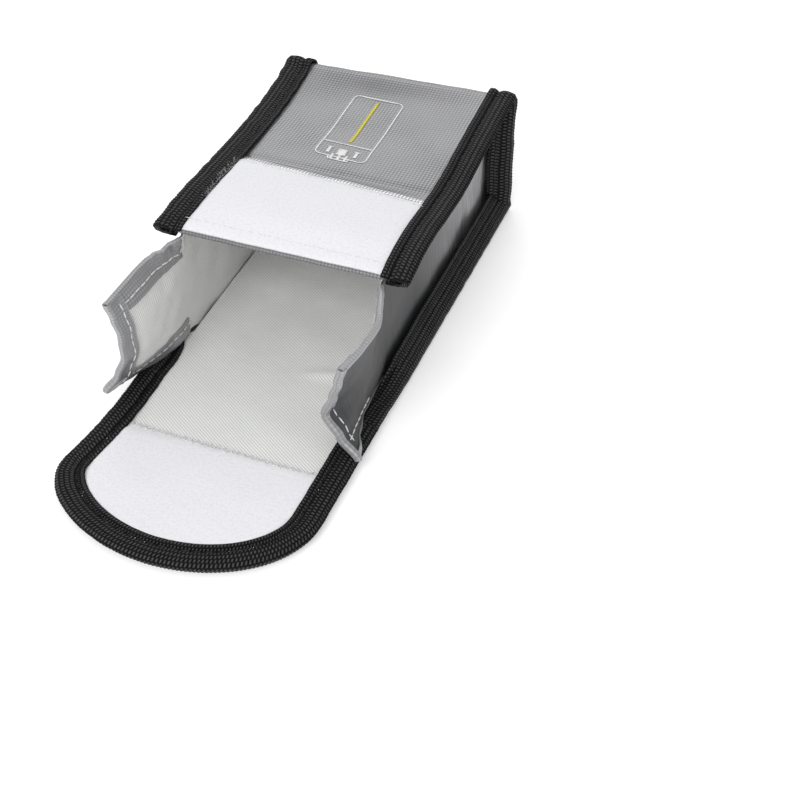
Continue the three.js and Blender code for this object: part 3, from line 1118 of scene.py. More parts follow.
class StitchMaker:
    """Rows of stitches along lines."""

    def __init__(self) -> None:
        """Builds the tree: one small spindle for each stitch, laid along the line."""
        graph = GeometryGraph("stitch_rows", [
            ("Pitch", "NodeSocketFloat", 0.003), ("Length", "NodeSocketFloat", 0.0024),
            ("Radius", "NodeSocketFloat", 0.0002), ("Finish", "NodeSocketMaterial", None)])
        given = graph.given.outputs
        to_curve = graph.node("GeometryNodeMeshToCurve", {0: given["Geometry"]})
        points = graph.node("GeometryNodeCurveToPoints", {
            "Curve": to_curve.outputs[0], "Length": given["Pitch"]}, mode="LENGTH")
        ball = graph.node("GeometryNodeMeshUVSphere", {"Segments": 6, "Rings": 5, "Radius": 1.0})
        size = graph.node("ShaderNodeCombineXYZ", {
            0: given["Radius"], 1: given["Radius"], 2: graph.times(given["Length"], 0.5)})
        turn = graph.node("FunctionNodeAlignEulerToVector", {"Vector": points.outputs["Tangent"]}, axis="Z")
        graph.place(points, ball, turn, size)
        self.graph = graph

    def sew(self, name: str, runs: Sequence[np.ndarray], material: Material, pitch: float = 2.6,
            length: float = 2.2, radius: float = 0.2) -> Thing:
        """Rows of stitches as one piece.

        Args:
            name: The piece's name.
            runs: Lines of points in millimetres.
            material: The thread's finish.
            pitch: From stitch to stitch.
            length: Of a stitch.
            radius: Of the thread.

        Returns:
            The piece.
        """
        verts, edges, start = [], [], 0
        for run in runs:
            run = resample(np.asarray(run, float), 0.8)
            verts.append(run)
            edges += [(start + i, start + i + 1) for i in range(len(run) - 1)]
            start += len(run)
        mesh = bpy.data.meshes.new(name + "_line")
        mesh.from_pydata((np.concatenate(verts) * MM).tolist(), edges, [])
        return self.graph.run(name, add_object(name + "_line", mesh), {
            "Pitch": pitch * MM, "Length": length * MM, "Radius": radius * MM, "Finish": material})


class FuzzMaker:
    """Loose fibres scattered over a strip of surface."""

    def __init__(self) -> None:
        """Builds the tree: thin curved spikes on random points."""
        graph = GeometryGraph("loose_fibres", [
            ("Density", "NodeSocketFloat", 1e6), ("Length", "NodeSocketFloat", 0.001),
            ("Thickness", "NodeSocketFloat", 0.00004), ("Seed", "NodeSocketInt", 1),
            ("Finish", "NodeSocketMaterial", None)])
        given = graph.given.outputs
        scatter = graph.node("GeometryNodeDistributePointsOnFaces", {
            "Mesh": given["Geometry"], "Density": given["Density"], "Seed": given["Seed"]},
            distribute_method="RANDOM")
        spike = graph.node("GeometryNodeMeshCone", {
            "Vertices": 3, "Side Segments": 2, "Radius Top": 0.3, "Radius Bottom": 1.0, "Depth": 1.0})
        lean = graph.node("FunctionNodeRandomValue", {
            0: (-1.25, -1.25, -3.1), 1: (1.25, 1.25, 3.1), "Seed": given["Seed"]}, data_type="FLOAT_VECTOR")
        turn = graph.node("FunctionNodeRotateEuler", {0: scatter.outputs["Rotation"], 1: lean.outputs[0]},
                          space="LOCAL")
        vary = graph.node("FunctionNodeRandomValue", {2: 0.4, 3: 1.3, "Seed": given["Seed"]},
                          data_type="FLOAT")
        size = graph.node("ShaderNodeCombineXYZ", {
            0: given["Thickness"], 1: given["Thickness"], 2: graph.times(given["Length"], vary.outputs[1])})
        graph.place(scatter, spike, turn, size)
        self.graph = graph

    def scatter(self, name: str, strip: np.ndarray, material: Material, per_mm2: float, length: float,
                seed: int, thickness: float = 0.04) -> Thing:
        """Fibres over a strip.

        Args:
            name: The piece's name.
            strip: Rows by columns by 3 points in millimetres.
            material: The fibres' finish.
            per_mm2: Fibres for each square millimetre.
            length: Usual length.
            seed: Which scatter.
            thickness: Of a fibre.

        Returns:
            The piece.
        """
        quads = grid_quads(*strip.shape[:2])
        source = make_object(name + "_strip", strip.reshape(-1, 3), quads, None, None)
        return self.graph.run(name, source, {
            "Density": per_mm2 * 1e6, "Length": length * MM, "Thickness": thickness * MM, "Seed": seed,
            "Finish": material})


# ---------------------------------------------------------------- what every sub-assembly shares


@dataclass
class Workshop:
    """Finishes and makers, and the pieces made."""

    finishes: Finishes
    stitches: StitchMaker
    fuzz: FuzzMaker
    made: list[Thing] = field(default_factory=list)

    def keep(self, thing: Thing, slot: str, replaces: Sequence[str] = ()) -> Thing:
        """Files a piece and hides the solids it stands for."""
        if replaces:
            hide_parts(*replaces)
        self.made.append(thing)
        return thing

    @staticmethod
    def fasten(thing: Thing, body: Body) -> None:
        """Joins a piece to the body it moves with; a piece between two bodies only has its transform baked.

        Args:
            thing: The piece.
            body: A body's name, or two names and where along Y the fold between them starts and ends, in
                metres.
        """
        if isinstance(body, str):
            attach(thing, body)
        else:
            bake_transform(thing)

    def lay(self, cloth: Cloth, body: Body, held: str,
            rests_on: Sequence[str], slot: str, replaces: Sequence[str],
            with_pieces: Sequence[Thing] = ()) -> None:
        """Builds a cloth piece, fastens it and files it.

        Args:
            cloth: The piece.
            body: What it moves with, as for fasten.
            held: How it is held; not used.
            rests_on: Names of what it lies on; not used.
            slot: Its material slot; not used.
            replaces: The solids it stands for.
            with_pieces: Separate pieces on it, such as hems; not used.
        """
        thing = cloth.build()
        self.fasten(thing, body)
        self.keep(thing, slot, replaces)

    def sew(self, name: str, runs: Sequence[np.ndarray], body: Body,
            slot: str, finish: Material, sizes: tuple[float, float, float]) -> None:
        """Makes rows of stitches, fastens them and files them.

        Args:
            name: The piece's name.
            runs: Lines of points in millimetres.
            body: What they move with, as for fasten.
            slot: Their material slot; not used.
            finish: The thread.
            sizes: Distance from stitch to stitch, a stitch's length and the thread's radius.
        """
        thing = self.stitches.sew(name, runs, finish, *sizes)
        self.fasten(thing, body)
        self.keep(thing, slot)


# ---------------------------------------------------------------- sub-assemblies


@dataclass
class TopPanel:
    """The top panel: coated shell, lining, loop fastener, mouth hem and printed sign.

    Attributes:
        shop: Shared finishes and makers.
        step: Size of the mesh's squares.
        loop_start: Front edge of the loop fastener, back from the mouth.
        loop_half: Half its width.
    """

    shop: Workshop
    step: float = 1.0
    loop_start: float = 0.05
    loop_half: float = 27.8

    def _grid(self, half: float, y0: float, y1: float, below: float) -> tuple[np.ndarray, np.ndarray]:
        """Points of a layer at a depth below the outer face, with their flat positions."""
        xs = np.linspace(-half, half, int(2 * half / self.step) + 1)
        ys = np.linspace(y0, y1, int((y1 - y0) / self.step) + 1)
        y, x = np.meshgrid(ys, xs, indexing="ij")
        points = np.stack([x, y, FORM.top(x, y) - below], axis=2)
        return points, np.stack([x, y], axis=2)

    def make_shell(self) -> None:
        """The coated fabric, rolled under at the mouth and bent down at the closed end."""
        points, flat = self._grid(31.4, MOUTH_Y, END_Y + 0.6, SHELL_THICK / 2)
        back = smooth(END_Y - 3.4, END_Y + 1.2, points[..., 1])
        points[..., 2] -= 1.9 * back**2
        row = points[..., 1] + LOOP_SKEW * points[..., 0] - MOUTH_Y
        ridge = np.abs((row - LOOP_END - RIDGE_GAP) / 0.92)
        points[..., 2] += 0.22 * np.abs(np.sin(math.pi * ridge)) * (ridge < 1)
        inside = 1 - smooth(27.4, 28.8, np.abs(points[0, :, 0]))
        rows, flat_rows = [points], [flat]
        roll = [(-0.15, -0.1), (-0.22, -0.35), (-0.12, -0.6)] + [(0.4 + 1.2 * i, -0.62) for i in range(5)]
        for forward, down in roll:
            row, flat_row = points[:1].copy(), flat[:1].copy()
            row[..., 1] += forward
            change = FORM.top(row[..., 0], row[..., 1]) - FORM.top(points[:1, :, 0], points[:1, :, 1])
            row[..., 2] += down * inside + change
            flat_row[..., 1] -= 0.4 + max(forward, 0) - down * 0.6
            rows.insert(0, row)
            flat_rows.insert(0, flat_row)
        cloth = Cloth("top_panel_shell", np.concatenate(rows), np.concatenate(flat_rows), SHELL_THICK,
                      self.shop.finishes.top_silver)
        self.shop.lay(cloth, "bag", "stretched", ["left_side_panel_shell", "right_side_panel_shell"],
                      "coated_fabric", ["top_shell", "mouth_hem"])

    def make_lining(self) -> None:
        """The twill under it."""
        points, flat = self._grid(26.4, MOUTH_Y + 5.6, END_Y - 1.4, SHELL_THICK + LINING_THICK)
        cloth = Cloth("top_panel_lining", points, flat, LINING_THICK, self.shop.finishes.twill, flip=True)
        self.shop.lay(cloth, "bag", "stretched", ["top_panel_shell"], "twill_lining", ["top_lining"])

    def make_loop(self) -> None:
        """The loop fastener's backing and pile."""
        y0, y1 = MOUTH_Y + self.loop_start, MOUTH_Y + LOOP_END
        points, flat = self._grid(self.loop_half, y0, y1, -0.5)
        x, y = points[..., 0], points[..., 1].copy()
        points[..., 1] -= LOOP_SKEW * x * (y - y0) / (y1 - y0)
        points[..., 2] = FORM.top(x, points[..., 1]) + 0.5
        edge = np.minimum(y - y0, y1 - y)
        points[..., 2] -= 0.3 * (1 - smooth(0, 1.2, edge)) + 0.35 * smooth(25.0, 26.6, np.abs(x))
        points[..., 2] += 0.05 * ripple(x, y, 3.0, 21)
        points[..., 1] += 0.16 * ripple(x, y * 0, 5.0, 22) * (1 - smooth(0, 3, y1 - y))
        cloth = Cloth("loop_fastener_patch", points, flat, PILE_THICK, self.shop.finishes.pile)
        self.shop.lay(cloth, "bag", "laid", ["top_panel_shell"], "fastener_pile", ["loop_fastener"])

    def make_sewing(self) -> None:
        """Stitching along the mouth edge and round the loop fastener."""
        xs = np.linspace(-26.5, 26.5, 60)
        rows = []
        for back, skew in ((3.2, 0.006), (LOOP_END - 1.4, LOOP_SKEW)):
            y = MOUTH_Y + back - skew * xs
            rows.append(np.stack([xs, y, FORM.top(xs, y) + 0.84], axis=1))
        self.shop.sew("loop_stitching", rows, "bag", "fastener_pile", self.shop.finishes.thread,
                      (2.4, 2.1, 0.13))

    def make_fuzz(self) -> None:
        """Loose loop fibres that lie over the left tape's inner edge."""
        ys = np.linspace(MOUTH_Y + 12, MOUTH_Y + 32, 30)
        xs = np.linspace(-26.9, -25.6, 3)
        y, x = np.meshgrid(ys, xs, indexing="ij")
        strip = np.stack([x, y, FORM.top(x, y) + 0.9], axis=2)
        thing = self.shop.fuzz.scatter("loop_fibres", strip, self.shop.finishes.thread, 4.0, 1.2, 5, 0.03)
        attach(thing, "bag")
        self.shop.keep(thing, "fastener_pile")

    def _ink(self, name: str, lines: Sequence[tuple[float, float, float, float, float]],
             material: Material) -> None:
        """Straight printed lines on the panel.

        Args:
            name: The piece's name.
            lines: For each, x and y of both ends and its width.
            material: The ink.
        """
        verts, faces = [], []
        for x0, y0, x1, y1, width in lines:
            a, b = np.array([x0, y0 - SIGN_SKEW * x0]), np.array([x1, y1 - SIGN_SKEW * x1])
            along = (b - a) / max(np.linalg.norm(b - a), 1e-6)
            across = np.array([-along[1], along[0]]) * width / 2
            n = max(2, int(np.linalg.norm(b - a) / 0.8) + 1)
            for i, t in enumerate(np.linspace(0, 1, n)):
                for sign in (-1, 1):
                    p = a + (b - a) * t + sign * across
                    verts.append([p[0], p[1], float(FORM.top(np.array(p[0]), np.array(p[1]))) + 0.1])
                if i:
                    k = len(verts) - 4
                    faces.append((k, k + 2, k + 3, k + 1))
        thing = make_object(name, np.array(verts), faces, None, material)
        solid = thing.modifiers.new("film", "SOLIDIFY")
        solid.thickness, solid.offset = FILM_THICK * MM, 0
        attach(thing, "bag")
        self.shop.keep(thing, "coated_fabric")

    def make_sign(self) -> None:
        """A plain battery sign: an outline, a terminal end with its contacts, and a charge line."""
        cx, half = -2.5, 7.4
        front, cap, back = MOUTH_Y + 43.6, MOUTH_Y + 50.4, MOUTH_Y + 74.0
        corner, thin = 1.7, 0.42
        outline = [(cx - half, front + corner, cx - half, back - corner, thin),
                   (cx - half, cap, cx + half, cap, thin),
                   (cx + half, front + corner, cx + half, back - corner, thin)]
        for end, away in ((front, 1), (back, -1)):
            outline.append((cx - half + corner, end, cx + half - corner, end, thin))
            for sign in (-1, 1):
                turn = np.linspace(0, math.pi / 2, 5)
                x = cx + sign * (half - corner + corner * np.cos(turn))
                y = end + away * corner * (1 - np.sin(turn))
                outline += [(x[k], y[k], x[k + 1], y[k + 1], thin) for k in range(4)]
        contacts = [(cx, front + 1.2, cx, front + 4.2, 2.6),
                    (cx - 2.6, front - 1.2, cx + 2.6, front - 1.2, thin),
                    (cx, front - 1.2, cx, front + 1.2, 0.9)]
        for sign in (-1, 1):
            contacts += [(cx + sign * 4.0, front + 1.4, cx + sign * 4.0, front + 4.2, 0.9),
                         (cx + sign * 3.2, front + 4.1, cx + sign * 4.8, front + 4.1, 0.4),
                         (cx + sign * 2.6, front - 1.3, cx + sign * 3.2, front, thin),
                         (cx + sign * 2.0, front - 1.2, cx + sign * 2.0, front + 1.4, 0.7)]
        self._ink("sign_outline", outline + contacts, self.shop.finishes.ink)
        charge = [(cx, MOUTH_Y + 51.8, cx, MOUTH_Y + 72.6, 0.8)]
        self._ink("sign_charge_line", charge, self.shop.finishes.yellow_ink)

    def build(self) -> None:
        """Makes every piece of the panel."""
        self.make_shell()
        self.make_lining()
        self.make_loop()
        self.make_sewing()
        self.make_fuzz()
        self.make_sign()


@dataclass
class EndPanel:
    """The closed end: shell and lining.

    Attributes:
        shop: Shared finishes and makers.
        bulge: How far its middle stands out.
    """

    shop: Workshop
    bulge: float = 1.1

    def _grid(self, half: float, inwards: float, low: float, top_drop: float) -> Grid:
        """Points of a layer a distance inwards from the outer face."""
        xs, ts = np.linspace(-half, half, 53), np.linspace(0, 1, 37)
        t, x = np.meshgrid(ts, xs, indexing="ij")
        high = FORM.top(x, np.full_like(x, END_Y)) - top_drop
        z = low + t * (high - low)
        round_in = 0.9 * smooth(half - 4, half + 1, np.abs(x)) + 1.0 * (1 - smooth(0.2, 2.4, z))
        bulge = self.bulge * np.sin(math.pi * t) * (1 - (x / half) ** 2)
        y = END_Y - inwards - round_in + bulge + 0.25 * ripple(x, z, 14, 31)
        return np.stack([x, y, z], axis=2), np.stack([x, z], axis=2)

    def build(self) -> None:
        """Makes both layers."""
        points, flat = self._grid(31.0, 0.3, 0.35, 1.0)
        shell = Cloth("end_panel_shell", points, flat, SHELL_THICK, self.shop.finishes.silver, flip=True)
        self.shop.lay(shell, "bag", "stretched", ["left_side_panel_shell", "right_side_panel_shell"],
                      "coated_fabric", ["end_shell"])
        points, flat = self._grid(26.0, 1.1, 2.4, 1.5)
        lining = Cloth("end_panel_lining", points, flat, LINING_THICK, self.shop.finishes.twill)
        self.shop.lay(lining, "bag", "stretched", ["end_panel_shell"], "twill_lining", ["end_lining"])


@dataclass
class Floor:
    """The strip under the pouch and through the flap: shells and linings of bottom, cover and tongue.

    Attributes:
        shop: Shared finishes and makers.
        step: Size of the mesh's squares.
    """

    shop: Workshop
    step: float = 1.0

    @staticmethod
    def _floor_height(x: np.ndarray, y: np.ndarray) -> np.ndarray:
        """Height of the lining, with its creases."""
        wave = 0.10 * ripple(x, y, 18, 41) + 0.04 * ripple(x, y, 6, 42)
        ridge_at = -4.5 + 0.35 * (x - 12)
        ridge = 0.55 * np.exp(-(((y - MOUTH_Y - ridge_at) / 1.6) ** 2)) * smooth(4, 12, x)
        ridge = ridge * (1 - smooth(20, 25, x))
        dent = -0.35 * np.exp(-(((x - 19) / 3) ** 2) - ((y - MOUTH_Y + 8) / 3) ** 2)
        edge = 1 - smooth(20, 25, np.abs(x))
        return 1.95 + (wave + ridge + dent) * edge - 0.25 * smooth(MOUTH_Y - 26, MOUTH_Y - 40, y)

    def _rows(self, ys: np.ndarray, half: Callable[[np.ndarray], np.ndarray], height: Callable) -> Grid:
        """A sheet whose width follows half(y)."""
        cols = int(2 * float(np.max(half(ys))) / self.step) + 1
        share = np.linspace(-1, 1, cols)
        y, s = np.meshgrid(ys, share, indexing="ij")
        x = s * half(y)
        points = np.stack([x, y, height(x, y)], axis=2)
        return points, np.stack([x, y], axis=2)

    def _body_strip(self) -> None:
        """Shell and lining from the closed end to the middle of the mouth cover."""
        ys = np.linspace(COVER_JOIN_Y, END_Y - 0.4, int((END_Y - COVER_JOIN_Y) / self.step) + 1)

        def under(x: np.ndarray, y: np.ndarray) -> np.ndarray:
            rise = 0.76 * np.maximum(smooth(20, 25, np.abs(x)), 1 - smooth(FOLD_Y + 4, FOLD_Y + 10, y))
            end = 1.5 * smooth(END_Y - 3, END_Y + 0.2, y) ** 2
            return 0.32 + rise + 0.05 * ripple(x, y, 15, 43) * (1 - rise) + end

        points, flat = self._rows(ys, lambda y: np.full_like(y, 31.6), under)
        shell = Cloth("bottom_strip_shell", points, flat, SHELL_THICK, self.shop.finishes.silver, flip=True)
        self.shop.lay(shell, MOUTH_FOLD, "stretched", ["bottom_tape_left", "bottom_tape_right"],
                      "coated_fabric", ["bottom_shell", "cover_shell"])

        def lining_half(y: np.ndarray) -> np.ndarray:
            inside = 26.3 - 1.0 * smooth(MOUTH_Y + 20, END_Y, y)
            return inside + (30.8 - inside) * (1 - smooth(FOLD_Y - 4, MOUTH_Y + 0.5, y))

        ys = ys[ys < END_Y - 1.2]
        points, flat = self._rows(ys, lining_half, self._floor_height)
        lining = Cloth("bottom_strip_lining", points, flat, LINING_THICK, self.shop.finishes.twill)
        self.shop.lay(lining, MOUTH_FOLD, "laid", ["bottom_strip_shell"],
                      "twill_lining", ["bottom_lining", "cover_lining"])

    def _tongue_strip(self) -> None:
        """Shell and lining from the middle of the mouth cover to the tongue's tip."""
        tip = FLAP_TIP_Y + 1.2
        count = int((COVER_JOIN_Y - tip) / self.step) + 1
        ys = COVER_JOIN_Y - (COVER_JOIN_Y - tip) * np.linspace(1, 0, count)

        def half(y: np.ndarray, inset: float = 1.6) -> np.ndarray:
            round_y = FLAP_TIP_Y + FLAP_RISE
            t = np.clip((round_y - y) / (FLAP_RISE - inset + 0.3), 0, 0.999)
            return (FLAP_HALF - inset) * np.sqrt(1 - t * t)

        def under(x: np.ndarray, y: np.ndarray) -> np.ndarray:
            return 1.08 + 0.012 * ripple(x, y, 15, 43)

        points, flat = self._rows(ys, half, under)
        shell = Cloth("tongue_strip_shell", points, flat, SHELL_THICK, self.shop.finishes.silver, flip=True)
        self.shop.lay(shell, TONGUE_FOLD, "stretched", ["tongue_binding"], "coated_fabric", ["tongue_shell"])
        points, flat = self._rows(ys, lambda y: half(y, 2.2), self._floor_height)
        lining = Cloth("tongue_strip_lining", points, flat, LINING_THICK, self.shop.finishes.twill)
        self.shop.lay(lining, TONGUE_FOLD, "laid", ["tongue_strip_shell"], "twill_lining", ["tongue_lining"])

    def _hook(self) -> None:
        """The hook fastener in the tongue's round end."""
        start, inset = MOUTH_Y - 39.2, FLAP_TAPE_WIDTH - 2.2
        round_y, rise = FLAP_TIP_Y + FLAP_RISE, FLAP_RISE - inset
        ys = start + (round_y - rise + 0.1 - start) * np.sin(np.linspace(0, math.pi / 2, 48))
        y, share = np.meshgrid(ys, np.linspace(-1, 1, 57), indexing="ij")
        x = share * (FLAP_HALF - inset) * np.sqrt(1 - np.clip((round_y - y) / rise, 0, 0.9995) ** 2)
        x = x + flap_shift(y) * np.clip(-share, 0, 1)
        near = 1 - smooth(0, 10, start - y)
        y = y + 0.25 * ripple(x, y * 0, 7.0, 52) * near**2 - 0.03 * x * near
        z = 2.45 - 0.5 * (1 - smooth(0, 1.5, start - y)) + 0.05 * ripple(x, y, 3, 53)
        z = z + 0.1 * ripple(x, y, 16, 54)
        z = z - 0.5 * (1 - smooth(FLAP_TAPE_WIDTH - 1.0, FLAP_TAPE_WIDTH + 0.6, flap_depth(x, y)))
        points, flat = np.stack([x, y, z], axis=2), np.stack([x, y], axis=2)
        cloth = Cloth("hook_fastener_patch", points, flat, PILE_THICK, self.shop.finishes.pile, flip=True)
        self.shop.lay(cloth, "tongue", "laid", ["tongue_strip_lining"], "fastener_pile", ["hook_fastener"])
        self._hook_sewing(start)

    def _hook_sewing(self, start: float) -> None:
        """Zigzag stitching along the hook fastener's straight edge."""
        xs = np.arange(-24.5, 24.6, 0.9)
        zig = np.where(np.arange(len(xs)) % 2 == 0, 1.0, -0.9)
        run = np.stack([xs, start - 0.2 + zig - 0.03 * xs, np.where(zig > 0, 2.3, 2.72)], axis=1)
        self.shop.sew("hook_stitching", [run], "tongue", "fastener_pile", self.shop.finishes.thread,
                      (1.05, 1.3, 0.15))
        strip = flap_edge(FLAP_TAPE_WIDTH - 0.5, 0.8)
        strip = strip[(strip[:, 1] < start - 3) & (strip[:, 0] < -12)]
        inner = strip * np.array([0.965, 1.0]) + np.array([0, 0.5])
        rows = np.stack([strip, inner], axis=1)
        lifted = np.concatenate([rows, np.full(rows.shape[:2] + (1,), 2.85)], axis=2)
        fibres = self.shop.fuzz.scatter("hook_fibres", lifted, self.shop.finishes.thread, 5.0, 1.1, 9, 0.03)
        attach(fibres, "tongue")
        self.shop.keep(fibres, "fastener_pile")

    def build(self) -> None:
        """Makes every piece of the strip."""
        self._body_strip()
        self._tongue_strip()
        self._hook()


@dataclass
class SidePanel:
    """A side panel with its ear: shell, lining, folded hems and stitching.

    Attributes:
        shop: Shared finishes and makers.
        side: Which side.
        ear: The ear's shape.
        length: Of the ear along the cloth.
        rows: Points from bottom to top.
        hem: Width of the hems.
    """

    shop: Workshop
    side: Side
    ear: EarForm
    length: float = 32.0
    rows: int = 40
    hem: float = 5.4

    def _wall(self, y: np.ndarray, t: np.ndarray) -> np.ndarray:
        """Points on the side panel's outer face."""
        low = 1.0 + 2.2 * (1 - smooth(MOUTH_Y, MOUTH_Y + 6, y))
        high = FORM.edge_height(self.side, y) - 0.9
        high = high + (32.7 - high) * (1 - smooth(MOUTH_Y, MOUTH_Y + 4, y))
        z = low + t * (high - low)
        back = y - MOUTH_Y
        seed = 61 if self.side is Side.LEFT else 67
        bow = -0.4 * np.sin(math.pi * t) * smooth(3, 30, back) * (1 - smooth(74, 86, back))
        crease = 0.9 * np.exp(-(((back - 66 - 7 * (t - 0.5)) / 2.2) ** 2)) * np.sin(math.pi * t)
        uneven = 0.28 * ripple(y, z, 17, seed) * smooth(0, 8, back)
        x = self.side.value * (FORM.half(y) + bow - crease + uneven)
        return np.stack([x, y, z], axis=-1)

    def surface(self, inwards: float, y_back: float, u_front: float, step: float = 1.0) -> Grid:
        """A layer of the panel and ear.

        Args:
            inwards: Depth of the layer below the outer face.
            y_back: Where it ends at the back.
            u_front: How far the ear reaches.
            step: Size of the mesh's squares.

        Returns:
            Points and their flat positions.
        """
        t = np.linspace(0, 1, self.rows)
        ys = np.linspace(y_back, MOUTH_Y + 0.6, int((y_back - MOUTH_Y) / step) + 1)
        us = np.linspace(0, u_front, int(u_front / (0.8 * step)) + 1)
        wall = self._wall(*np.meshgrid(ys, t, indexing="ij"))
        ear = self.ear.place(*np.meshgrid(us, t, indexing="ij"))
        points = np.concatenate([wall, ear], axis=0)
        flat_y = np.concatenate([ys, MOUTH_Y - us])
        flat = np.stack(np.broadcast_arrays(flat_y[:, None], points[..., 2]), axis=2)
        return self._offset(points, inwards), flat

    def _offset(self, points: np.ndarray, inwards: float) -> np.ndarray:
        """The points moved inwards, square to the surface."""
        du, dv = np.gradient(points, axis=0), np.gradient(points, axis=1)
        normal = unit(np.cross(du, dv))
        aim = np.sign((normal[..., 0] * -self.side.value).sum())
        return points + normal * aim * inwards

    def ear_point(self, u: np.ndarray, t: np.ndarray, inwards: float) -> np.ndarray:
        """Points on the ear a distance inwards from its outer face."""
        step_u, step_t = 0.4, 0.012
        u, t = np.asarray(u, float), np.asarray(t, float)
        du = self.ear.place(u + step_u, t) - self.ear.place(u - step_u, t)
        dt = self.ear.place(u, np.minimum(t + step_t, 1)) - self.ear.place(u, np.maximum(t - step_t, 0))
        normal = unit(np.cross(du, dt))
        normal = normal * np.where(normal[..., :1] * self.side.value > 0, -1, 1)
        return self.ear.place(u, t) + normal * inwards

    def _layers(self, hems: Sequence[Thing]) -> None:
        """Shell and lining.

        Args:
            hems: The folded hems on the shell; not used.
        """
        side = self.side.word
        fold = ("bag", f"{side}_ear", *EAR_FOLD)
        shell_points, shell_flat = self.surface(0.2, END_Y - 1.2, self.length)
        shell = Cloth(f"{side}_side_panel_shell", shell_points, shell_flat, SIDE_SHELL_THICK,
                      self.shop.finishes.side_silver, flip=self.side is Side.LEFT)
        self.shop.lay(shell, fold, "stretched", [f"bottom_tape_{side}"], "coated_fabric",
                      [f"{side}_side_shell", f"{side}_ear_shell"], hems)
        lining_points, lining_flat = self.surface(0.62, END_Y - 2.0, self.length - 0.5)
        lining_flat = lining_flat * np.array([-1.0, 1.0])
        lining = Cloth(f"{side}_side_panel_lining", lining_points, lining_flat, SIDE_LINING_THICK,
                       self.shop.finishes.twill, flip=self.side is Side.RIGHT)
        self.shop.lay(lining, fold, "stretched", [f"{side}_side_panel_shell"], "twill_lining",
                      [f"{side}_side_lining", f"{side}_ear_lining"])

    def _fold_over(self, name: str, at: np.ndarray, to_ut: Callable, wide: float, faces: tuple[float, float],
                   node: str) -> Thing:
        """A hem folded from the outside over one edge of the ear.

        Args:
            name: The piece's name.
            at: Positions along the edge.
            to_ut: Gives u and t for a position along the edge and a distance in from it.
            wide: Width of the hem inside.
            faces: Depths of its outer and inner leaf below the ear's outer face.
            node: The solid it stands for.

        Returns:
            The hem.
        """
        outside, inside = faces
        profile = [(1.1, outside), (0.3, outside - 0.05)]
        middle, radius = (outside + inside) / 2, (inside - outside) / 2
        for angle in np.linspace(-80, 80, 7):
            a = math.radians(angle)
            profile.append((-radius * 0.4 * math.cos(a), middle + radius * math.sin(a)))
        profile += [(0.4, inside + 0.05), (1.4, inside), (wide * 0.5, inside - 0.05),
                    (wide - 1.2, inside - 0.1), (wide - 0.4, inside + 0.02), (wide, inside + 0.1)]
        rows, flat_rows, run = [], [], 0.0
        previous = None
        for d, depth in profile:
            u, t = to_ut(at, max(d, 0.0) + 0 * at)
            line = self.ear_point(u, t, depth)
            if d < 0:
                u2, t2 = to_ut(at, 0.8 + 0 * at)
                away = unit(line - self.ear_point(u2, t2, depth))
                line = line + away * -d
            line = line + 0.06 * np.stack([ripple(at, at * 0 + d * 3, 6, 71)] * 3, axis=1)
            run += 0.0 if previous is None else float(np.linalg.norm(line - previous, axis=1).mean())
            previous = line
            rows.append(line)
            flat_rows.append(np.stack([at, np.full_like(at, run)], axis=1))
        cloth = Cloth(name, np.array(rows), np.array(flat_rows), HEM_THICK, self.shop.finishes.hem_silver)
        thing = cloth.build()
        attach(thing, f"{self.side.word}_ear")
        return self.shop.keep(thing, "coated_fabric", [node])

    def _hems(self) -> list[Thing]:
        """The three folded hems."""
        length, height = self.length, self.ear.heights[-1] - self.ear.heights[0]
        along, up = np.linspace(1.6, length, 34), np.linspace(0.0, 1.0, 32) * height
        plan = (("top", along, lambda a, d: (a, 1 - d / height), self.hem, (-0.17, 0.97)),
                ("bottom", along, lambda a, d: (a, d / height), self.hem - 0.8, (-0.17, 0.97)),
                ("front", up, lambda a, d: (length - d, a / height), self.hem, (-0.34, 1.28)))
        ear = f"{self.side.word}_ear"
        return [self._fold_over(f"{ear}_hem_{edge}", at, to_ut, wide, faces, f"{ear}_{edge}_hem")
                for edge, at, to_ut, wide, faces in plan]

    def _sewing(self) -> None:
        """White stitching along the hems, inside and outside."""
        side, length, height = self.side.word, self.length, self.ear.heights[-1] - self.ear.heights[0]
        inset = self.hem - 2.0
        low, high = (inset - 0.4) / height, 1 - inset / height
        u, t = np.linspace(1.8, length - inset, 40), np.linspace(low, high, 40)
        runs = [self.ear_point(u, np.full_like(u, at), 1.16) for at in (high, low)]
        runs.append(self.ear_point(np.full_like(t, length - inset), t, 1.48))
        runs.append(self.ear_point(u[u > 14], np.full_like(u[u > 14], low), -0.14))
        runs.append(self.ear_point(np.full_like(t[t < 0.42], length - inset), t[t < 0.42], -0.14))
        self.shop.sew(f"{side}_ear_stitching", runs, f"{side}_ear", "coated_fabric",
                      self.shop.finishes.thread, (2.3, 2.25, 0.2))

    def build(self) -> None:
        """Makes every piece of the side."""
        self._layers(self._hems())
        self._sewing()


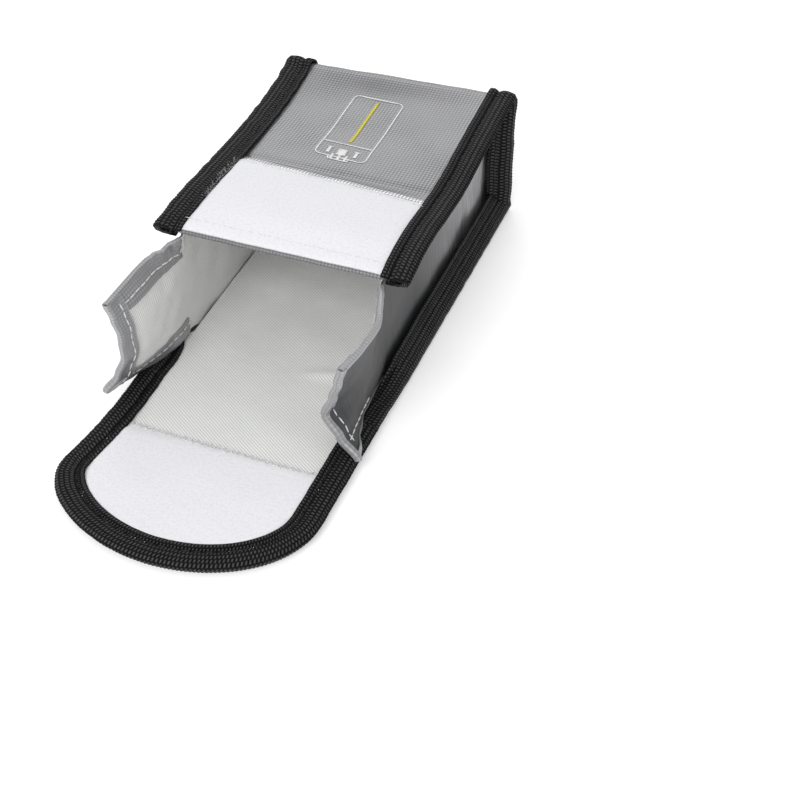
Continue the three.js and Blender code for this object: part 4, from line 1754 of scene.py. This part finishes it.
@dataclass
class Bindings:
    """The woven tape on every seam and round the flap.

    Attributes:
        shop: Shared finishes and makers.
    """

    shop: Workshop

    def _lay(self, tape: FoldedTape, body: Body, rests_on: Sequence[str], replaces: Sequence[str]) -> None:
        """Builds a tape, fastens it and files it."""
        thing = tape.build(self.shop.finishes.tape)
        self.shop.fasten(thing, body)
        self.shop.keep(thing, "binding_tape", replaces)

    def _sew(self, name: str, runs: Sequence[np.ndarray], body: Body) -> None:
        """Sews through a tape with black thread."""
        self.shop.sew(name, runs, body, "binding_tape", self.shop.finishes.black_thread, (2.8, 2.2, 0.16))

    def _top_stations(self, side: Side) -> list[TapeStation]:
        """The top seam, the corner and the upright seam of one side."""
        s = float(side.value)
        stations = []
        for y in np.concatenate([[MOUTH_Y - 0.9, MOUTH_Y + 0.6], np.linspace(MOUTH_Y + 3, END_Y - 5, 14)]):
            height = float(FORM.edge_height(side, np.array(y)))
            tip = (s * FORM.seam_reach(side, float(y)), float(y), height - 0.2)
            gap = 1.0 + 0.5 * float(smooth(MOUTH_Y - 1, MOUTH_Y + 3, y))
            stations.append(TapeStation(tip, (s, 0, 0.03), (-s * 0.03, 0, 1), 2.5, 2, gap, 7.8, 6.4))
        top = float(FORM.edge_height(side, np.array(END_Y)))
        reach = FORM.seam_reach(side, END_Y)
        corner = [(0.2, -1.8, -0.5, 0.3, 0.95, 3, 6), (0.0, -0.4, -1.7, 0.75, 0.66, 4, 16),
                  (-0.2, 0.1, -4.2, 1.0, 0.15, 6, 30), (-0.4, -0.3, -8.5, 1.0, 0.0, 6, 40)]
        for side_step, back, drop, up_y, up_z, wide, narrow in corner:
            tip = (s * (reach + side_step), END_Y + back, top + drop)
            stations.append(TapeStation(tip, (s, 0, 0), (0, up_y, up_z), wide, narrow, 1.9, 7.8, 7.4))
        for z in (20.0, 12.0, 7.0, 3.2):
            tip = (s * 33.3, END_Y - 0.6, z)
            stations.append(TapeStation(tip, (s, 0, 0), (0, 1, 0), 6, 42, 1.9, 7.8, 8.0))
        return stations

    def _upper(self, side: Side) -> None:
        """The tape along the top and down the back."""
        tape = FoldedTape(f"upper_tape_{side.word}", self._top_stations(side), seed=81 + side.value)
        self._lay(tape, "bag", ["top_panel_shell", f"{side.word}_side_panel_shell"],
                  [f"{side.word}_top_tape", f"{side.word}_upright_tape"])
        self._sew(f"upper_tape_stitching_{side.word}", [tape.seam_runs[leaf] for leaf in Leaf], "bag")

    def _bottom(self, side: Side) -> None:
        """The tape along the bottom seam and the mouth cover's edge."""
        s = float(side.value)
        end = flap_edge(0.0)[0 if side is Side.LEFT else -1]
        back = ((END_Y + 0.8, 56), (END_Y - 3, 56), (28, 57), (12, 58), (-6, 58), (-22, 58))
        lie = [(y, 33.0, 1.0, lean, 1.35, 8.4) for y, lean in back]
        if side is Side.LEFT:
            lie += [(-34, 33.0, 1.0, 60, 1.4, 8.2), (-39.5, 33.0, 1.1, 50, 1.6, 6.8),
                    (-42.3, 32.9, 1.2, 26, 2.0, 5.1), (-45, 32.7, 1.4, 8, 2.3, 5.0),
                    (-49, 32.5, 1.5, 0, 2.4, 6.3), (-55, 32.2, 1.5, 0, 2.2, 7.2)]
        else:
            lie += [(-36, 33.0, 1.0, 61, 1.4, 8.4), (-41, 33.0, 1.0, 58, 1.5, 8.0),
                    (-45, 33.0, 1.1, 48, 1.7, 6.8), (-49, 33.0, 1.2, 32, 1.9, 5.6),
                    (-53, 33.0, 1.4, 14, 2.2, 5.2), (-57, 33.0, 1.5, 3, 2.2, 6.4)]
        stations = [TapeStation((s * x, y, z), (s, 0, 0), (0, 0, 1), lean, 0, gap, wide, TAPE_WIDTH)
                    for y, x, z, lean, gap, wide in lie]
        stations.append(TapeStation((float(end[0]), COVER_JOIN_Y, 1.5), (s, 0, 0), (0, 0, 1), 0, 0, 2.1,
                                    FLAP_TAPE_WIDTH, TAPE_WIDTH))
        tape = FoldedTape(f"bottom_tape_{side.word}", stations, seed=91 + side.value)
        self._lay(tape, MOUTH_FOLD, [f"{side.word}_side_panel_shell"],
                  [f"{side.word}_bottom_tape", f"cover_{side.word}_tape"])

    def _tongue(self) -> None:
        """The tape round the tongue."""
        edge = flap_edge(0.0, 2.2)
        tangent = np.gradient(edge, axis=0)
        out = unit(np.stack([-tangent[:, 1], tangent[:, 0]], axis=1))
        centre = np.array([0, FLAP_TIP_Y + FLAP_RISE + 12])
        out *= np.sign(((edge - centre) * out).sum(axis=1, keepdims=True))
        stations = [TapeStation((*map(float, p), 1.5), (*map(float, o), 0), (0, 0, 1), gap=2.1,
                                upper=FLAP_TAPE_WIDTH) for p, o in zip(edge, out)]
        tape = FoldedTape("tongue_binding", stations, seed=97)
        self._lay(tape, TONGUE_FOLD, ["tongue_strip_shell", "tongue_strip_lining"], ["tongue_tape"])
        self._sew("tongue_stitching", [tape.seam_runs[Leaf.UPPER]], TONGUE_FOLD)

    def build(self) -> None:
        """Makes every tape."""
        for side in Side:
            self._upper(side)
            self._bottom(side)
        self._tongue()


# ---------------------------------------------------------------- studio


@dataclass(frozen=True)
class Studio:
    """The camera, the floor and the lights.

    Attributes:
        eye: Where the camera is, in metres.
        azimuth: Its direction round the object, in degrees.
        elevation: Its height above the horizon, in degrees.
        lens: Focal length on a 36 mm sensor.
    """

    eye: tuple[float, float, float] = (0.1480, -0.3485, 0.2791)
    azimuth: float = 20.85
    elevation: float = 40.89
    lens: float = 75.9

    def camera(self) -> None:
        """Makes the camera."""
        data = bpy.data.cameras.new("camera")
        data.lens, data.sensor_width = self.lens, 36.0
        data.clip_start, data.clip_end = 0.01, 20
        thing = add_object("camera", data)
        a, e = math.radians(self.azimuth), math.radians(self.elevation)
        back = Vector((math.sin(a) * math.cos(e), -math.cos(a) * math.cos(e), math.sin(e)))
        thing.location = self.eye
        thing.rotation_mode = "QUATERNION"
        thing.rotation_quaternion = (-back).to_track_quat("-Z", "Y")
        bpy.context.scene.camera = thing

    @staticmethod
    def _area(name: str, at: tuple[float, float, float], size: float, power: float) -> None:
        """A square soft light aimed at the pouch."""
        data = bpy.data.lights.new(name, "AREA")
        data.size, data.energy = size, power
        thing = add_object(name, data)
        thing.location = at
        thing.rotation_mode = "QUATERNION"
        thing.rotation_quaternion = (Vector((0, -0.02, 0.02)) - Vector(at)).to_track_quat("-Z", "Y")

    def light(self) -> None:
        """A pale room with a large light behind and a weaker one in front."""
        world = bpy.data.worlds.new("room")
        world.use_nodes = True
        world.node_tree.nodes["Background"].inputs[0].default_value = (1, 1, 1, 1)
        world.node_tree.nodes["Background"].inputs[1].default_value = 0.6
        bpy.context.scene.world = world
        self._area("key", (-0.05, -0.85, 0.60), 0.6, 5.0)
        self._area("back", (-0.25, 0.75, 0.55), 0.6, 2.0)
        bpy.context.scene.view_settings.view_transform = "Standard"

    @staticmethod
    def floor() -> None:
        """A plain pale floor."""
        half = 3.0
        mesh = bpy.data.meshes.new("floor")
        corners = [(-half, -half, 0), (half, -half, 0), (half, half, 0), (-half, half, 0)]
        mesh.from_pydata(corners, [], [(0, 1, 2, 3)])
        material, graph, shader = new_material("floor")
        graph.set(shader, {"Base Color": (0.95, 0.95, 0.95, 1), "Roughness": 0.9,
                           "Emission Color": (1, 1, 1, 1), "Emission Strength": 0.35})
        mesh.materials.append(material)
        thing = add_object("floor", mesh)
        thing.location = (0, 0, -0.0002)


def main() -> None:
    """Builds the studio and every sub-assembly, and reports each piece."""
    logging.basicConfig(level=logging.INFO, format="%(name)s: %(message)s")
    studio = Studio()
    studio.camera()
    studio.light()
    studio.floor()
    shop = Workshop(Finishes.make(), StitchMaker(), FuzzMaker())
    parts = [TopPanel(shop), EndPanel(shop), Floor(shop), SidePanel(shop, Side.LEFT, LEFT_EAR),
             SidePanel(shop, Side.RIGHT, RIGHT_EAR, length=33.0), Bindings(shop)]
    for part in parts:
        before = len(shop.made)
        part.build()
        for thing in shop.made[before:]:
            LOG.info("%s: %s, %d faces", type(part).__name__, thing.name, len(thing.data.polygons))


if __name__ == "__main__":
    main()
